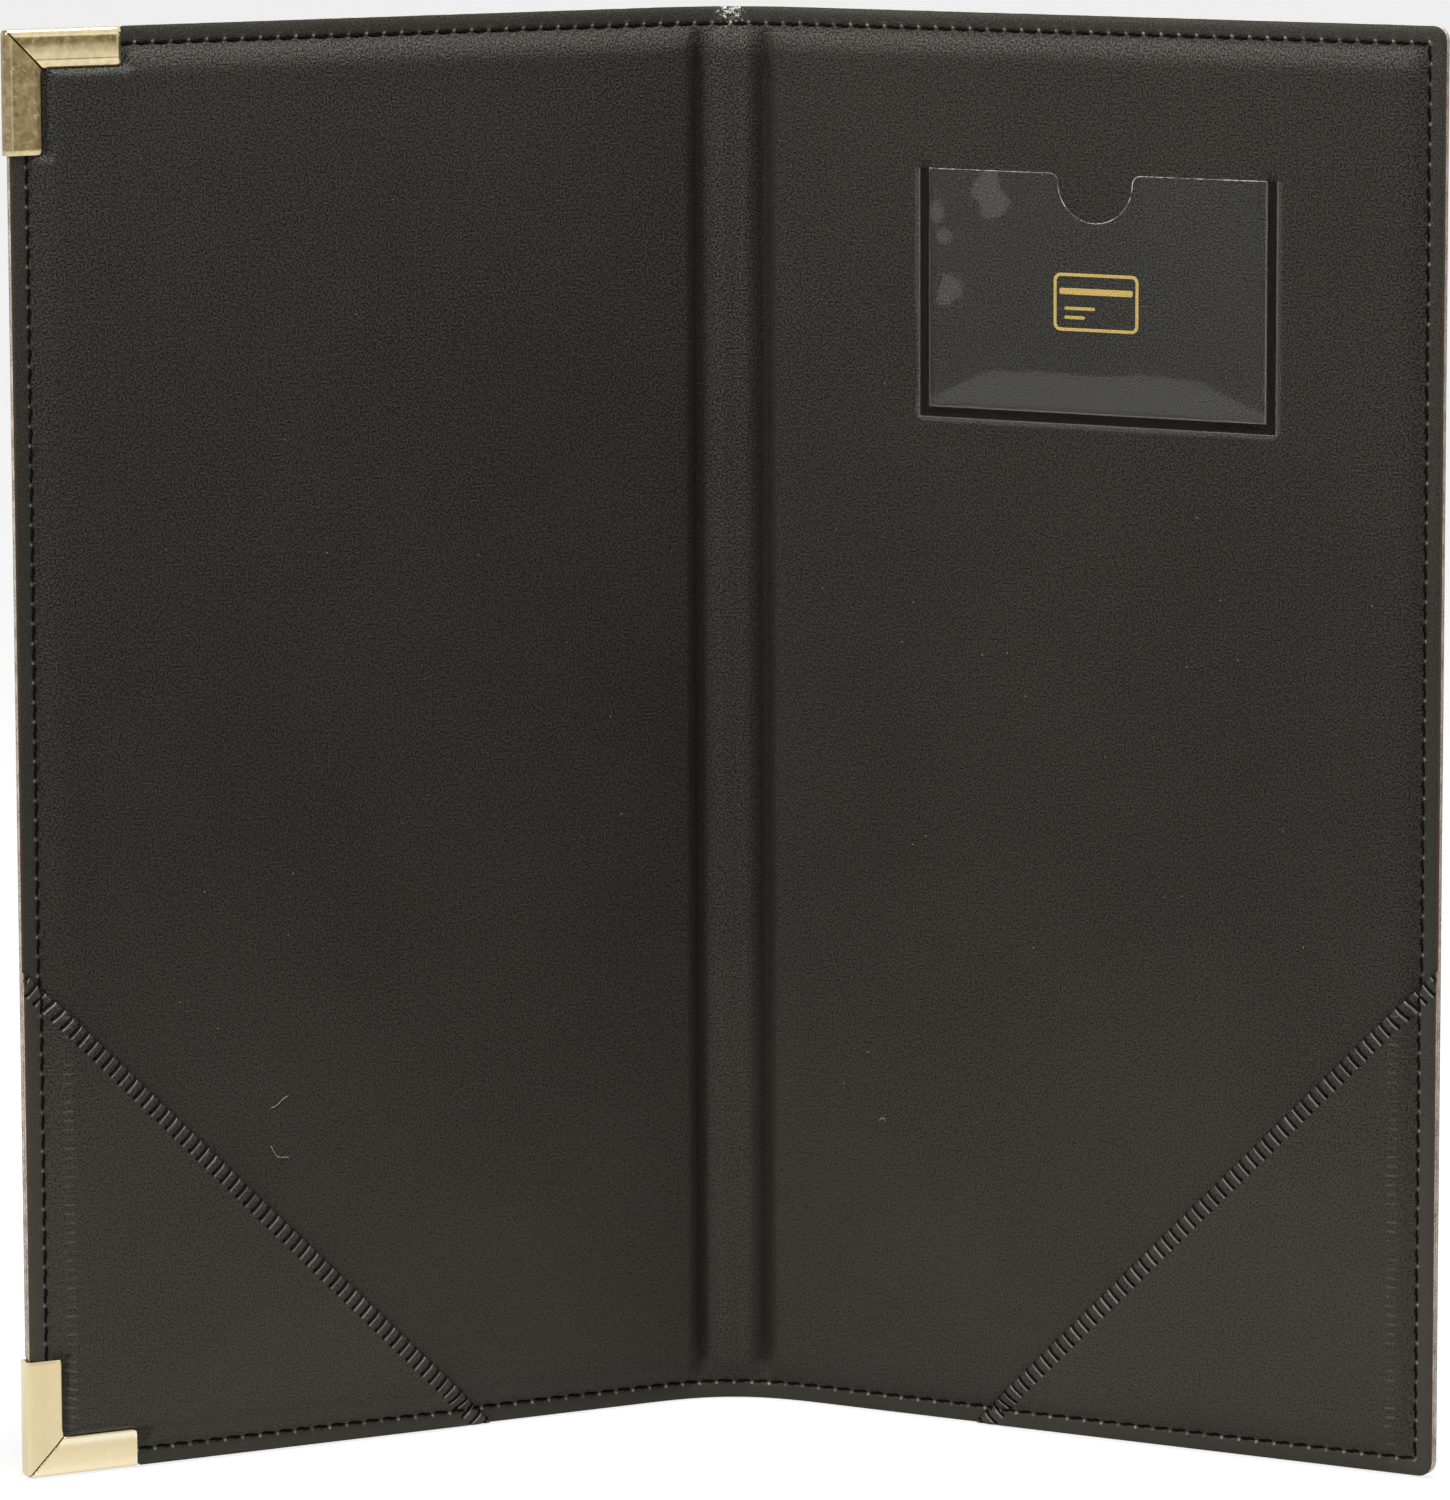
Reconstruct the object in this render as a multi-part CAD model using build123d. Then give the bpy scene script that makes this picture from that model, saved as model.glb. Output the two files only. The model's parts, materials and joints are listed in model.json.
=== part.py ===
from build123d import *
from math import ceil, cos, radians, sin, sqrt, tan
import os

# A guest check presenter: two padded leatherette covers joined by a narrow spine. It stands open
# on its bottom edges, with the inner sides of both covers turned to the viewer (-Y), the spine at
# the back and +Z up along the spine. Millimetres and degrees.
#
# Each cover is drawn flat in a frame of its own: X runs from its fold line to its fore edge, Y is
# its inner side, Z is up, and the seam plane, where the outer skin meets the lining, is Y = 0.

# Driving dimensions ---------------------------------------------------------------------------

COVER_HEIGHT = 254.0          # bottom edge to top edge
COVER_WIDTH = 133.0           # fold line to fore edge
FOLD_SPACING = 13.3           # from one fold line to the other, across the spine
REST_FOLD = 28.5              # each cover's turn from flat as the presenter stands

SKIN = 0.9                    # leatherette, lining and outer skin alike
BOARD = 1.6                   # stiffening board inside each cover
FOAM = 0.8                    # foam sheet between the board and the lining
SEAM_OFFSET = 3.1             # raw edge to the seam round the whole presenter
PAD_MARGIN = 3.8              # raw edge to the foot of the padding
INNER_SHOULDER = 4.4          # width of the rounded shoulder on the lined side
OUTER_SHOULDER = 1.6          # width of the rounded shoulder on the outer side
BOARD_CLEARANCE = 0.1         # round the board, inside the skins
CORNER_RADIUS = 2.5           # the skins' corners at the fore edge

WEB_HALF = 1.75               # the strip that bends, each side of a fold line
GROOVE_GAP = 0.2              # from that strip to the foot of the padding
SPINE_SHOULDER = 3.4          # width of the rounded shoulders of the spine's ridge
SPINE_RIDGE = 1.2             # height of the bead that raises the ridge

POCKET_LEG = 90.0             # corner pocket, along the bottom edge and the fore edge
POCKET_GAP = 0.3              # room for paper under a corner pocket
THREAD = 0.4                  # thickness of the sewing thread as it lies
THREAD_WIDTH = 0.6
STITCH_PITCH = 3.43           # seam round the covers
STITCH_LENGTH = 2.5           # the part of a stitch that shows
LADDER_PITCH = 2.1            # overedge stitches along a pocket's mouth
LADDER_REACH = 3.4            # from the pocket's edge to the needle holes

WINDOW_WIDTH = 71.8           # card window, over its welds
WINDOW_HEIGHT = 45.1
WINDOW_FROM_FOLD = 31.2
WINDOW_FROM_TOP = 27.6
WINDOW_WELD = 2.8             # width of the weld round three sides
WINDOW_FILM = 0.3
WINDOW_ROOM = 0.4             # height of the space for the card
WINDOW_RADIUS = 2.0           # its two lower corners
NOTCH_WIDTH = 17.0            # thumb notch in the window's open edge
NOTCH_DEPTH = 8.6

METAL_LEG = 22.0              # brass corner, length of each leg along the edge
METAL_WIDTH = 6.8             # width of each leg
METAL_SHEET = 0.55
METAL_ROUND = 1.0             # outer edge, over which the sheet is folded
METAL_LIP = 1.3               # bevelled border that presses on the leatherette
METAL_LIP_DROP = 0.35
METAL_CLEARANCE = 0.2         # round the metal, to the foot of the padding
MITRE_WIDTH = 0.3             # open seam where the two legs meet on the inner side
MITRE_DEPTH = 0.4

# Values that follow ---------------------------------------------------------------------------

PAD_RISE = BOARD / 2 + FOAM                     # padding above the seam plane, lined side
BACK_RISE = BOARD / 2                           # and on the outer side
PAD_NEAR = WEB_HALF + GROOVE_GAP                # foot of the padding beside the fold
PAD_FAR = COVER_WIDTH - PAD_MARGIN
PAD_LOW = PAD_MARGIN
PAD_HIGH = COVER_HEIGHT - PAD_MARGIN
BOARD_INSET = OUTER_SHOULDER + BOARD_CLEARANCE  # from the foot of the padding to the board
SPINE_HALF = FOLD_SPACING / 2 - WEB_HALF
BEYOND = 20.0                                   # how far a cutter runs past what it cuts
METAL_FRONT = 2 * SKIN + METAL_SHEET            # inner face of the metal over the pocket

# The presenter's box is centred on the origin: its front is the lower metal corner's inner face
# and its back is the spine's outer skin.
REACH = COVER_WIDTH * sin(radians(REST_FOLD)) + METAL_FRONT * cos(radians(REST_FOLD))
FOLD_Y = (REACH - SKIN) / 2


# Forms ----------------------------------------------------------------------------------------

def slab(low, high):
    """A block from its lowest to its highest corner."""
    size = [high[i] - low[i] for i in range(3)]
    centre = [(high[i] + low[i]) / 2 for i in range(3)]
    return Pos(*centre) * Box(*size)


def dome(low, high, rise, shoulder):
    """A section with a flat base and a flat top, joined by two rounded shoulders."""
    near_top = (low + shoulder, rise)
    far_top = (high - shoulder, rise)
    near = TangentArc(near_top, (low, 0), tangent=(-1, 0))
    far = TangentArc(far_top, (high, 0), tangent=(1, 0))
    edges = near.edges() + far.edges() + Line((low, 0), (high, 0)).edges()
    if far_top[0] - near_top[0] > 1e-6:
        edges += Line(near_top, far_top).edges()
    return make_face(edges)


def padding(near, far, rise, shoulder):
    """A pillow that stands on Y = 0: the common part of a dome across and a dome upright."""
    across = extrude(dome(near, far, rise, shoulder), COVER_HEIGHT)
    side_view = Plane(origin=(far + BEYOND, 0, 0), x_dir=(0, 0, 1), z_dir=(-1, 0, 0))
    upright = extrude(side_view * dome(PAD_LOW, PAD_HIGH, rise, shoulder), far - near + 2 * BEYOND)
    return across & upright


def metal_zone(top, extra):
    """The L that a metal corner covers, seen from the inner side, widened by extra."""
    far = COVER_WIDTH + BEYOND
    arm = METAL_LEG + extra
    across = METAL_WIDTH + extra
    legs = ((across, arm), (arm, across))
    zone = []
    for width, height in legs:
        low_z, high_z = (COVER_HEIGHT - height, COVER_HEIGHT + BEYOND) if top else (-BEYOND, height)
        zone.append(slab((COVER_WIDTH - width, -BEYOND, low_z), (far, BEYOND, high_z)))
    return zone[0] + zone[1]


def outline(rise, metal):
    """The skins' flat outline, cut back by the sheet's thickness under each metal corner."""
    sheet = slab((WEB_HALF, 0, 0), (COVER_WIDTH, rise, COVER_HEIGHT))
    corners = sheet.edges().filter_by(Axis.Y).group_by(Axis.X)[-1]
    sheet = fillet(corners, CORNER_RADIUS)
    if metal:
        kept = slab(
            (0, -BEYOND, METAL_SHEET),
            (COVER_WIDTH - METAL_SHEET, BEYOND, COVER_HEIGHT - METAL_SHEET),
        )
        for top in (True, False):
            sheet -= metal_zone(top, 0) - kept
    return sheet


def cut_zones(pillow, extras):
    """Take the room of the metal corners out of a pillow; extras is for (top, bottom) or None."""
    if extras is None:
        return pillow
    return pillow - metal_zone(True, extras[0]) - metal_zone(False, extras[1])


def surface(level, lift, rise, shoulder, metal, extras):
    """All that lies between the seam plane and one skin's surface: a margin and its pillow."""
    pillow = cut_zones(padding(PAD_NEAR, PAD_FAR, rise, shoulder), extras)
    skin = outline(level, metal) + Pos(0, level + lift, 0) * pillow
    if lift:
        skin += cut_zones(slab((PAD_NEAR, 0, PAD_LOW), (PAD_FAR, level + lift, PAD_HIGH)), extras)
    return skin


# Cover pieces, in the cover's frame ---------------------------------------------------------------

def zones(metal, top_layers, bottom_layers):
    """How far the metal corners' room is widened, by the skins that turn down beside them."""
    if not metal:
        return None
    return (METAL_CLEARANCE + top_layers * SKIN, METAL_CLEARANCE + bottom_layers * SKIN)


def lining(metal):
    skin = surface(SKIN, 0, PAD_RISE, INNER_SHOULDER, metal, zones(metal, 0, 1))
    cavity = cut_zones(padding(PAD_NEAR, PAD_FAR, PAD_RISE, INNER_SHOULDER), zones(metal, 1, 2))
    return skin - cavity


def foam_pad(metal):
    pillow = cut_zones(padding(PAD_NEAR, PAD_FAR, PAD_RISE, INNER_SHOULDER), zones(metal, 1, 2))
    return pillow - slab((0, -BEYOND, 0), (COVER_WIDTH, BACK_RISE, COVER_HEIGHT))


def stiffener(metal):
    low = (PAD_NEAR + BOARD_INSET, -BACK_RISE, PAD_LOW + BOARD_INSET)
    high = (PAD_FAR - BOARD_INSET, BACK_RISE, PAD_HIGH - BOARD_INSET)
    widened = zones(metal, 1, 2)
    if widened:
        widened = [extra + BOARD_CLEARANCE for extra in widened]
    return cut_zones(slab(low, high), widened)


def outer_skin(metal):
    skin = surface(SKIN, 0, BACK_RISE, OUTER_SHOULDER, metal, zones(metal, 0, 1))
    cavity = cut_zones(padding(PAD_NEAR, PAD_FAR, BACK_RISE, OUTER_SHOULDER), zones(metal, 1, 2))
    return mirror(skin - cavity, Plane.XZ)


def pocket_triangle():
    """Prism over the lower fore corner, as far as the pocket's slanted edge."""
    corner = (COVER_WIDTH + BEYOND, -BEYOND)
    reach = POCKET_LEG + 2 * BEYOND
    points = (corner, (corner[0] - reach, corner[1]), (corner[0], corner[1] + reach))
    face = make_face(Polyline(*points, close=True))
    return Pos(0, BEYOND, 0) * extrude(Plane.XZ * face, 2 * BEYOND)


def pocket_surface(metal, thread, extras):
    return surface(2 * SKIN + thread, POCKET_GAP, PAD_RISE, INNER_SHOULDER, metal, extras)


def corner_pocket(metal):
    outer = pocket_surface(metal, 0, zones(metal, 0, 0))
    inner = surface(SKIN, POCKET_GAP, PAD_RISE, INNER_SHOULDER, False, zones(metal, 0, 1))
    return (outer & pocket_triangle()) - inner


def pocket_stitches(metal):
    """Overedge stitches: each lies on the pocket, turns over its raw edge and ends beneath it."""
    coat = pocket_surface(metal, THREAD, zones(metal, 0, 0))
    coat -= pocket_surface(metal, 0, zones(metal, 0, 0)) & pocket_triangle()
    coat -= surface(SKIN, POCKET_GAP, PAD_RISE, INNER_SHOULDER, False, zones(metal, 0, 1))
    mouth = POCKET_LEG * sqrt(2)
    count = int(mouth / LADDER_PITCH)
    stitches = []
    for index in range(count):
        along = (index + 0.5) * mouth / count
        bar = slab(
            (along - THREAD_WIDTH / 2, -BEYOND, -LADDER_REACH),
            (along + THREAD_WIDTH / 2, BEYOND, THREAD),
        )
        placed = Pos(COVER_WIDTH - POCKET_LEG, 0, 0) * (Rot(0, -45, 0) * bar)
        stitches += (coat & placed).solids()
    return Compound(stitches)


def stitch(centre, along_x, level, side):
    """One seam stitch lying on a skin: side is 1 on the lined side and -1 on the outer side."""
    half = STITCH_LENGTH / 2
    profile = Polyline(
        (-half, 0), (half, 0), (half - THREAD, THREAD), (THREAD - half, THREAD), close=True
    )
    bar = extrude(make_face(profile), THREAD_WIDTH / 2, both=True)
    if not along_x:
        bar = Rot(0, 90, 0) * bar
    if side < 0:
        bar = mirror(bar, Plane.XZ)
    return Pos(centre[0], side * level, centre[1]) * bar


def row(start, end):
    """Middles of the stitches between two ends of a straight seam."""
    count = ceil((end - start) / STITCH_PITCH)
    step = (end - start) / count
    return [start + (index + 0.5) * step for index in range(count)]


def in_metal(x, z):
    """Whether a stitch at this place lies under a metal corner."""
    margin = METAL_LEG + STITCH_LENGTH / 2
    from_fore = COVER_WIDTH - x
    from_edge = min(z, COVER_HEIGHT - z)
    return from_fore < margin and from_edge < margin


def seam_stitches(metal):
    """The seam's thread on both faces: along the top, the fore edge and the bottom."""
    fore = COVER_WIDTH - SEAM_OFFSET
    low = SEAM_OFFSET
    high = COVER_HEIGHT - SEAM_OFFSET
    places = [(x, z, True) for x in row(WEB_HALF, fore) for z in (low, high)]
    places += [(fore, z, False) for z in row(low, high)]
    half = STITCH_LENGTH / 2
    stitches = []
    for x, z, along_x in places:
        if metal and in_metal(x, z):
            continue
        stitches.append(stitch((x, z), along_x, SKIN, -1))
        into_pocket = POCKET_LEG - (COVER_WIDTH - x) - z
        if -half - THREAD * sqrt(2) < into_pocket < half + LADDER_REACH * sqrt(2):
            continue
        stitches.append(stitch((x, z), along_x, 2 * SKIN if into_pocket > 0 else SKIN, 1))
    return Compound(stitches)


def card_window():
    """Clear film, welded to the lining on three sides, open at the top with a thumb notch."""
    near = WINDOW_FROM_FOLD
    far = near + WINDOW_WIDTH
    high = COVER_HEIGHT - WINDOW_FROM_TOP
    low = high - WINDOW_HEIGHT
    base = SKIN + PAD_RISE
    weld = slab((near, base, low), (far, base + WINDOW_FILM, high))
    raised = slab(
        (near + WINDOW_WELD, base, low + WINDOW_WELD),
        (far - WINDOW_WELD, base + WINDOW_ROOM + WINDOW_FILM, high),
    )
    room = slab(
        (near + WINDOW_WELD + WINDOW_FILM, base, low + WINDOW_WELD + WINDOW_FILM),
        (far - WINDOW_WELD - WINDOW_FILM, base + WINDOW_ROOM, high + BEYOND),
    )
    lower_corners = weld.edges().filter_by(Axis.Y).group_by(Axis.Z)[0]
    film = fillet(lower_corners, WINDOW_RADIUS) + raised - room
    arc_radius = (NOTCH_WIDTH ** 2 / 4 + NOTCH_DEPTH ** 2) / (2 * NOTCH_DEPTH)
    cutter = Rot(90, 0, 0) * Cylinder(arc_radius, 2 * BEYOND)
    middle = (near + far) / 2
    return film - Pos(middle, base, high - NOTCH_DEPTH + arc_radius) * cutter


# Metal corner, in the cover's frame ------------------------------------------------------------------

def metal_profile(inner_level):
    """The folded sheet's section: X inward from the outer edge, Y to the inner side."""
    back = -SKIN - METAL_SHEET
    front = inner_level + METAL_SHEET
    lip = METAL_WIDTH - METAL_LIP
    outer = [
        Line((METAL_WIDTH, -SKIN), (METAL_WIDTH, back + METAL_LIP_DROP)),
        Line((METAL_WIDTH, back + METAL_LIP_DROP), (lip, back)),
        Line((lip, back), (METAL_ROUND, back)),
        TangentArc((METAL_ROUND, back), (0, back + METAL_ROUND), tangent=(-1, 0)),
        Line((0, back + METAL_ROUND), (0, front - METAL_ROUND)),
        TangentArc((0, front - METAL_ROUND), (METAL_ROUND, front), tangent=(0, 1)),
        Line((METAL_ROUND, front), (lip, front)),
        Line((lip, front), (METAL_WIDTH, front - METAL_LIP_DROP)),
        Line((METAL_WIDTH, front - METAL_LIP_DROP), (METAL_WIDTH, inner_level)),
    ]
    slot = [
        Line((METAL_WIDTH, inner_level), (METAL_SHEET, inner_level)),
        Line((METAL_SHEET, inner_level), (METAL_SHEET, -SKIN)),
        Line((METAL_SHEET, -SKIN), (METAL_WIDTH, -SKIN)),
    ]
    return make_face([edge for line in outer + slot for edge in line.edges()])


def metal_corner(top, inner_level):
    """Two legs of folded sheet, mitred at the corner, with an open seam on the inner side."""
    section = metal_profile(inner_level)
    upright = Pos(COVER_WIDTH, 0, 0) * extrude(mirror(section, Plane.YZ), METAL_LEG, dir=(0, 0, 1))
    mitre = Plane(origin=(COVER_WIDTH, 0, 0), z_dir=(1, 0, 1))
    level = mirror(upright, mitre)
    upright = split(upright, bisect_by=mitre, keep=Keep.TOP)
    corner = upright + split(level, bisect_by=mitre, keep=Keep.BOTTOM)
    seam_length = (METAL_WIDTH + METAL_ROUND) * sqrt(2)
    front = inner_level + METAL_SHEET
    seam = slab(
        (METAL_ROUND, front - MITRE_DEPTH, -MITRE_WIDTH / 2),
        (seam_length, front + BEYOND, MITRE_WIDTH / 2),
    )
    corner -= Pos(COVER_WIDTH, 0, 0) * (Rot(0, -135, 0) * seam)
    if top:
        corner = Pos(0, 0, COVER_HEIGHT) * mirror(corner, Plane.XY)
    return corner


# Spine pieces, in the spine's frame: X across, Y to the inner side --------------------------------------

def ridge(level):
    """The crowned bead of the spine, standing on Y = level."""
    half = SPINE_HALF - GROOVE_GAP
    return Pos(0, level, 0) * padding(-half, half, SPINE_RIDGE, SPINE_SHOULDER)


def spine_lining():
    return slab((-SPINE_HALF, 0, 0), (SPINE_HALF, SKIN, COVER_HEIGHT)) + ridge(SKIN) - ridge(0)


def spine_outer_skin():
    return slab((-SPINE_HALF, -SKIN, 0), (SPINE_HALF, 0, COVER_HEIGHT))


def spine_stitches():
    stitches = []
    for x in row(-SPINE_HALF, SPINE_HALF):
        for z in (SEAM_OFFSET, COVER_HEIGHT - SEAM_OFFSET):
            for side in (1, -1):
                stitches.append(stitch((x, z), True, SKIN, side))
    return Compound(stitches)


def hinge_web(low, high):
    """A strip of skin from the spine to the front cover, bent to the resting fold about its line.
    The bend is tangent to both; low and high are its faces, measured from the seam plane."""
    turn = radians(REST_FOLD)
    bend = WEB_HALF / tan(turn / 2)
    ends = []
    for level in (low, high):
        radius = bend - level
        angles = (0, turn / 2, turn)
        ends.append([(WEB_HALF - radius * sin(a), bend - radius * cos(a)) for a in angles])
    edges = ThreePointArc(*ends[0]).edges() + ThreePointArc(*ends[1]).edges()
    edges += Line(ends[0][0], ends[1][0]).edges() + Line(ends[0][2], ends[1][2]).edges()
    return extrude(make_face(edges), COVER_HEIGHT)


# Placing ------------------------------------------------------------------------------------------------

def at_spine(shape):
    return Pos(0, FOLD_Y, 0) * (Rot(0, 0, 180) * shape)


def at_front(shape):
    return Pos(-FOLD_SPACING / 2, FOLD_Y, 0) * (Rot(0, 0, 180 + REST_FOLD) * shape)


def at_front_fold(shape):
    """For a web, drawn with the spine to its right and the cover to its left."""
    return Pos(-FOLD_SPACING / 2, FOLD_Y, 0) * mirror(shape, Plane.XZ)


def at_back(shape):
    return mirror(at_front(shape), Plane.YZ)


def at_back_fold(shape):
    return mirror(at_front_fold(shape), Plane.YZ)


def build():
    """Every piece by its name, placed as the presenter stands."""
    pieces = {
        "spine_outer_skin": at_spine(spine_outer_skin()),
        "spine_strip": at_spine(ridge(0)),
        "spine_lining": at_spine(spine_lining()),
        "spine_seam_stitches": at_spine(spine_stitches()),
    }
    for side, placed in (("front", at_front_fold), ("back", at_back_fold)):
        pieces[side + "_outer_hinge_web"] = placed(hinge_web(-SKIN, 0))
        pieces[side + "_inner_hinge_web"] = placed(hinge_web(0, SKIN))
    for side, placed, metal in (("front", at_front, True), ("back", at_back, False)):
        pieces[side + "_outer_skin"] = placed(outer_skin(metal))
        pieces[side + "_board"] = placed(stiffener(metal))
        pieces[side + "_foam_pad"] = placed(foam_pad(metal))
        pieces[side + "_lining"] = placed(lining(metal))
        pieces[side + "_corner_pocket"] = placed(corner_pocket(metal))
        pieces[side + "_pocket_stitches"] = placed(pocket_stitches(metal))
        pieces[side + "_seam_stitches"] = placed(seam_stitches(metal))
    pieces["top_brass_corner"] = at_front(metal_corner(True, SKIN))
    pieces["bottom_brass_corner"] = at_front(metal_corner(False, 2 * SKIN))
    pieces["card_window"] = at_back(card_window())
    return pieces


os.makedirs("parts", exist_ok=True)
for name, piece in build().items():
    export_step(piece, f"parts/{name}.step")
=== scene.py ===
import json
from math import cos, pi, radians, sin, sqrt
import bpy
import numpy as np
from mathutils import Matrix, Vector
from mathutils.geometry import delaunay_2d_cdt


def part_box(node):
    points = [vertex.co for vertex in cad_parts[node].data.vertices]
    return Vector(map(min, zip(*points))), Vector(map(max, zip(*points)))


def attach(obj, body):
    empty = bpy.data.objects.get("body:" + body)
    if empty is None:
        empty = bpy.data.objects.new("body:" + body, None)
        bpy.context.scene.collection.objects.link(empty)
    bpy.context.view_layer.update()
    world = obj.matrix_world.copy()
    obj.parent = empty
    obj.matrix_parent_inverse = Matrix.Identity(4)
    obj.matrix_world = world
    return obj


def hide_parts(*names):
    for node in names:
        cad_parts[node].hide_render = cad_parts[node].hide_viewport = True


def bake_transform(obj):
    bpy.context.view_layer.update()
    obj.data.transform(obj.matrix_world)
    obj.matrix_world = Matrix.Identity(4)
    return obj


# The looks of a guest check presenter: leatherette covers with padded linings, a rounded spine,
# corner pockets with an overedge seam, brass corners and a clear card window.
#
# Lengths are in millimetres until a mesh is made. Each half of the presenter is drawn flat:
# s runs across the leather from the middle of the spine to the fore edge, z runs up, and n rises
# to the inner side from the seam plane, where outer skin and lining meet. On a cover, u is the
# distance from its fold line. The side is -1 for the front cover and 1 for the back cover.

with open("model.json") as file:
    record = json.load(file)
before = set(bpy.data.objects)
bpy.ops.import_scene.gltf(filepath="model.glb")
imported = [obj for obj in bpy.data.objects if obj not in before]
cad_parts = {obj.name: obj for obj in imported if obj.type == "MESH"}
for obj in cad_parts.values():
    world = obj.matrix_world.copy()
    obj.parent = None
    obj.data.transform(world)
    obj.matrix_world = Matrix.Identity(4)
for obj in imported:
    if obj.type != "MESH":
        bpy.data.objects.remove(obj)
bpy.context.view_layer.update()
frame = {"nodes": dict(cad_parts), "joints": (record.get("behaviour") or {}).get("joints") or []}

MM = 0.001
COVERS = {"front": -1, "back": 1}


# Sizes from the frame --------------------------------------------------------

def joint(name):
    return next(j for j in frame["joints"] if j["name"] == name)


HINGE = joint("back_cover_hinge")
FOLD_X = HINGE["pos_m"][0] / MM
FOLD_Y = HINGE["pos_m"][1] / MM
REST_FOLD = radians(-HINGE["range_deg"][0])
SPINE_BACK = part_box("spine_outer_skin")[1].y / MM
SKIN = SPINE_BACK - FOLD_Y
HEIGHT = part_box("back_outer_skin")[1].z / MM
FORE_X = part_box("back_outer_skin")[1].x / MM
WIDTH = (FORE_X - FOLD_X - SKIN * sin(REST_FOLD)) / cos(REST_FOLD)
FORE = FOLD_X + WIDTH                     # s of the fore edge

# Sizes of the leatherwork ----------------------------------------------------

COAT = 0.15                   # black coat on the fabric backing, as the raw edges show
SEAM_OFFSET = 3.1
STITCHES_ACROSS = 40          # on one half, along the top or the bottom
STITCHES_UP = 72              # along the fore edge
EDGE_ROUND = 0.6              # how far in from a cut edge the leather thins
EDGE_THIN = 0.28
PAD_MARGIN = 3.8
PAD_NEAR = -0.7               # fold line to the foot of the padding
PAD_RISE = 1.6                # padding over the margin, lined side
BACK_RISE = 0.8               # and on the outer side
INNER_SHOULDER = 4.8
GROOVE_SHOULDER = 3.8         # the padding's shoulder beside the spine
OUTER_SHOULDER = 2.2
CORNER_RADIUS = 2.5
RIDGE_FOOT = 6.4              # middle of the spine to the foot of its ridge
RIDGE_SHOULDER = 4.0
RIDGE_RISE = 1.4
GROOVE_DIP = 0.4              # how far the groove is pressed towards the outer skin
BEND_PANEL = (3.0, 3.2)       # length of leather that bends, before and after the fold line
BEND_MARGIN = (6.2, 9.5)
BEND_FADE = 7.0               # from the margin's bend to the panel's
CROWN = 0.2

LINING_WAVES = ((0.05, 24, 5), (0.02, 9, 9))      # height, width and seed of each unevenness
OUTER_WAVES = ((0.03, 28, 31), (0.015, 8, 37))
POCKET_WAVES = ((0.06, 11, 51), (0.03, 4.5, 57))
FILM_WAVES = ((0.09, 14, 91), (0.04, 5, 93))

SEAM_BEHIND = 0.6             # the seam's relief on the outer side, as a share
SEAM_LINE = 0.42              # half width of the line that the seam draws in
HOLE_RIM = 0.2                # height of the small rims beside the needle holes
VALLEY = 0.3                  # depth to which the seam draws the leather in
THREAD_RADIUS = 0.2

POCKET_LEG = 90.0
POCKET_GAP = 0.2
LADDER_COUNT = 60
LADDER_REACH = 2.75           # from the pocket's edge to the needle holes
LADDER_VALLEY = 0.32
LADDER_RADIUS = 0.2
MOUTH = POCKET_LEG * sqrt(2)

METAL_LEG = 21.7              # of the top corner; the bottom one is a little smaller
METAL_LEG_BOTTOM = 20.8
METAL_PROUD = 0.85            # how far the metal stands out from the fore edge
METAL_WIDTH = 6.8
METAL_SHEET = 0.55
METAL_LIP = 1.3
METAL_LIP_DROP = 0.35
METAL_CLEARANCE = 0.2
METAL_SHOULDER = 1.1          # padding's shoulder beside the metal
METAL_TUCK = 0.62             # how far the leather stops short of the metal's outer face

WINDOW_NEAR = 31.2            # u of the window's side towards the fold
WINDOW_SIZE = (71.8, 45.1)
WINDOW_TOP = HEIGHT - 27.6
WINDOW_RADIUS = 2.0
WINDOW_FAR = WINDOW_NEAR + WINDOW_SIZE[0]
WINDOW_LOW = WINDOW_TOP - WINDOW_SIZE[1]
WINDOW_MIDDLE = WINDOW_NEAR + WINDOW_SIZE[0] / 2
WELD_BEAD = 1.0               # two fine ridges outside the weld
WELD_CHANNEL = 1.7            # pressed weld
WELD_RAMP = 0.6               # from the weld up to the free film
WELD_DEPTH = 0.35
FILM = 0.2
FILM_LIFT = 0.35
FILM_PRESSED = 0.16           # depth of the weld in the film
EDGE_BEAD = 0.06
NOTCH = (7.3, 7.1)            # half width and depth of the thumb notch
NOTCH_LIP = 1.5
PAINTED_REFLECTION_SPOTS = (                      # u, z and radius of the round painted reflections in the film
    (46.0, 223.3, 3.1), (47.2, 220.2, 2.6), (37.0, 214.0, 1.5), (38.2, 204.9, 2.5), (36.2, 219.0, 1.6),
)
CARD_DROP = 22.6              # window's top to the middle of the card in foil
CARD = (16.6, 10.2)
CARD_LINE = 0.55
CARD_ROUND = 1.3
FOIL = 0.09
FOIL_LIFT = 0.1               # over the padding

FOAM_CLEAR = 0.06             # between the foam and what covers it
FOAM_INSET = 1.2
FOAM_LEAST = 0.05
BEND_REACH = 5.5              # on both sides of a fold line, for the pieces that bend there

LINT = {                      # (u, z) of the points of each fibre
    "front": [
        [(86.6, 62.0), (85.4, 62.4), (84.3, 63.4), (83.2, 64.0)],
        [(86.6, 55.2), (86.0, 53.9), (85.3, 53.0), (83.2, 52.9)],
    ],
    "back": [[(24.0, 54.0), (24.4, 54.5), (25.0, 54.4), (25.2, 53.9)]],
}
LINT_POINTS = 9
LINT_RADIUS = 0.08
DUST = 26                     # specks on each cover


# Small helpers ---------------------------------------------------------------

def rise(t, power=2.2):
    """A rounded shoulder: 0 at its foot, 1 and level at its top."""
    return 1 - (1 - np.clip(t, 0, 1)) ** power


def smooth(t):
    t = np.clip(t, 0, 1)
    return t * t * (3 - 2 * t)


def bell(x, width):
    return np.exp(-(x / width) ** 2)


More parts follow.
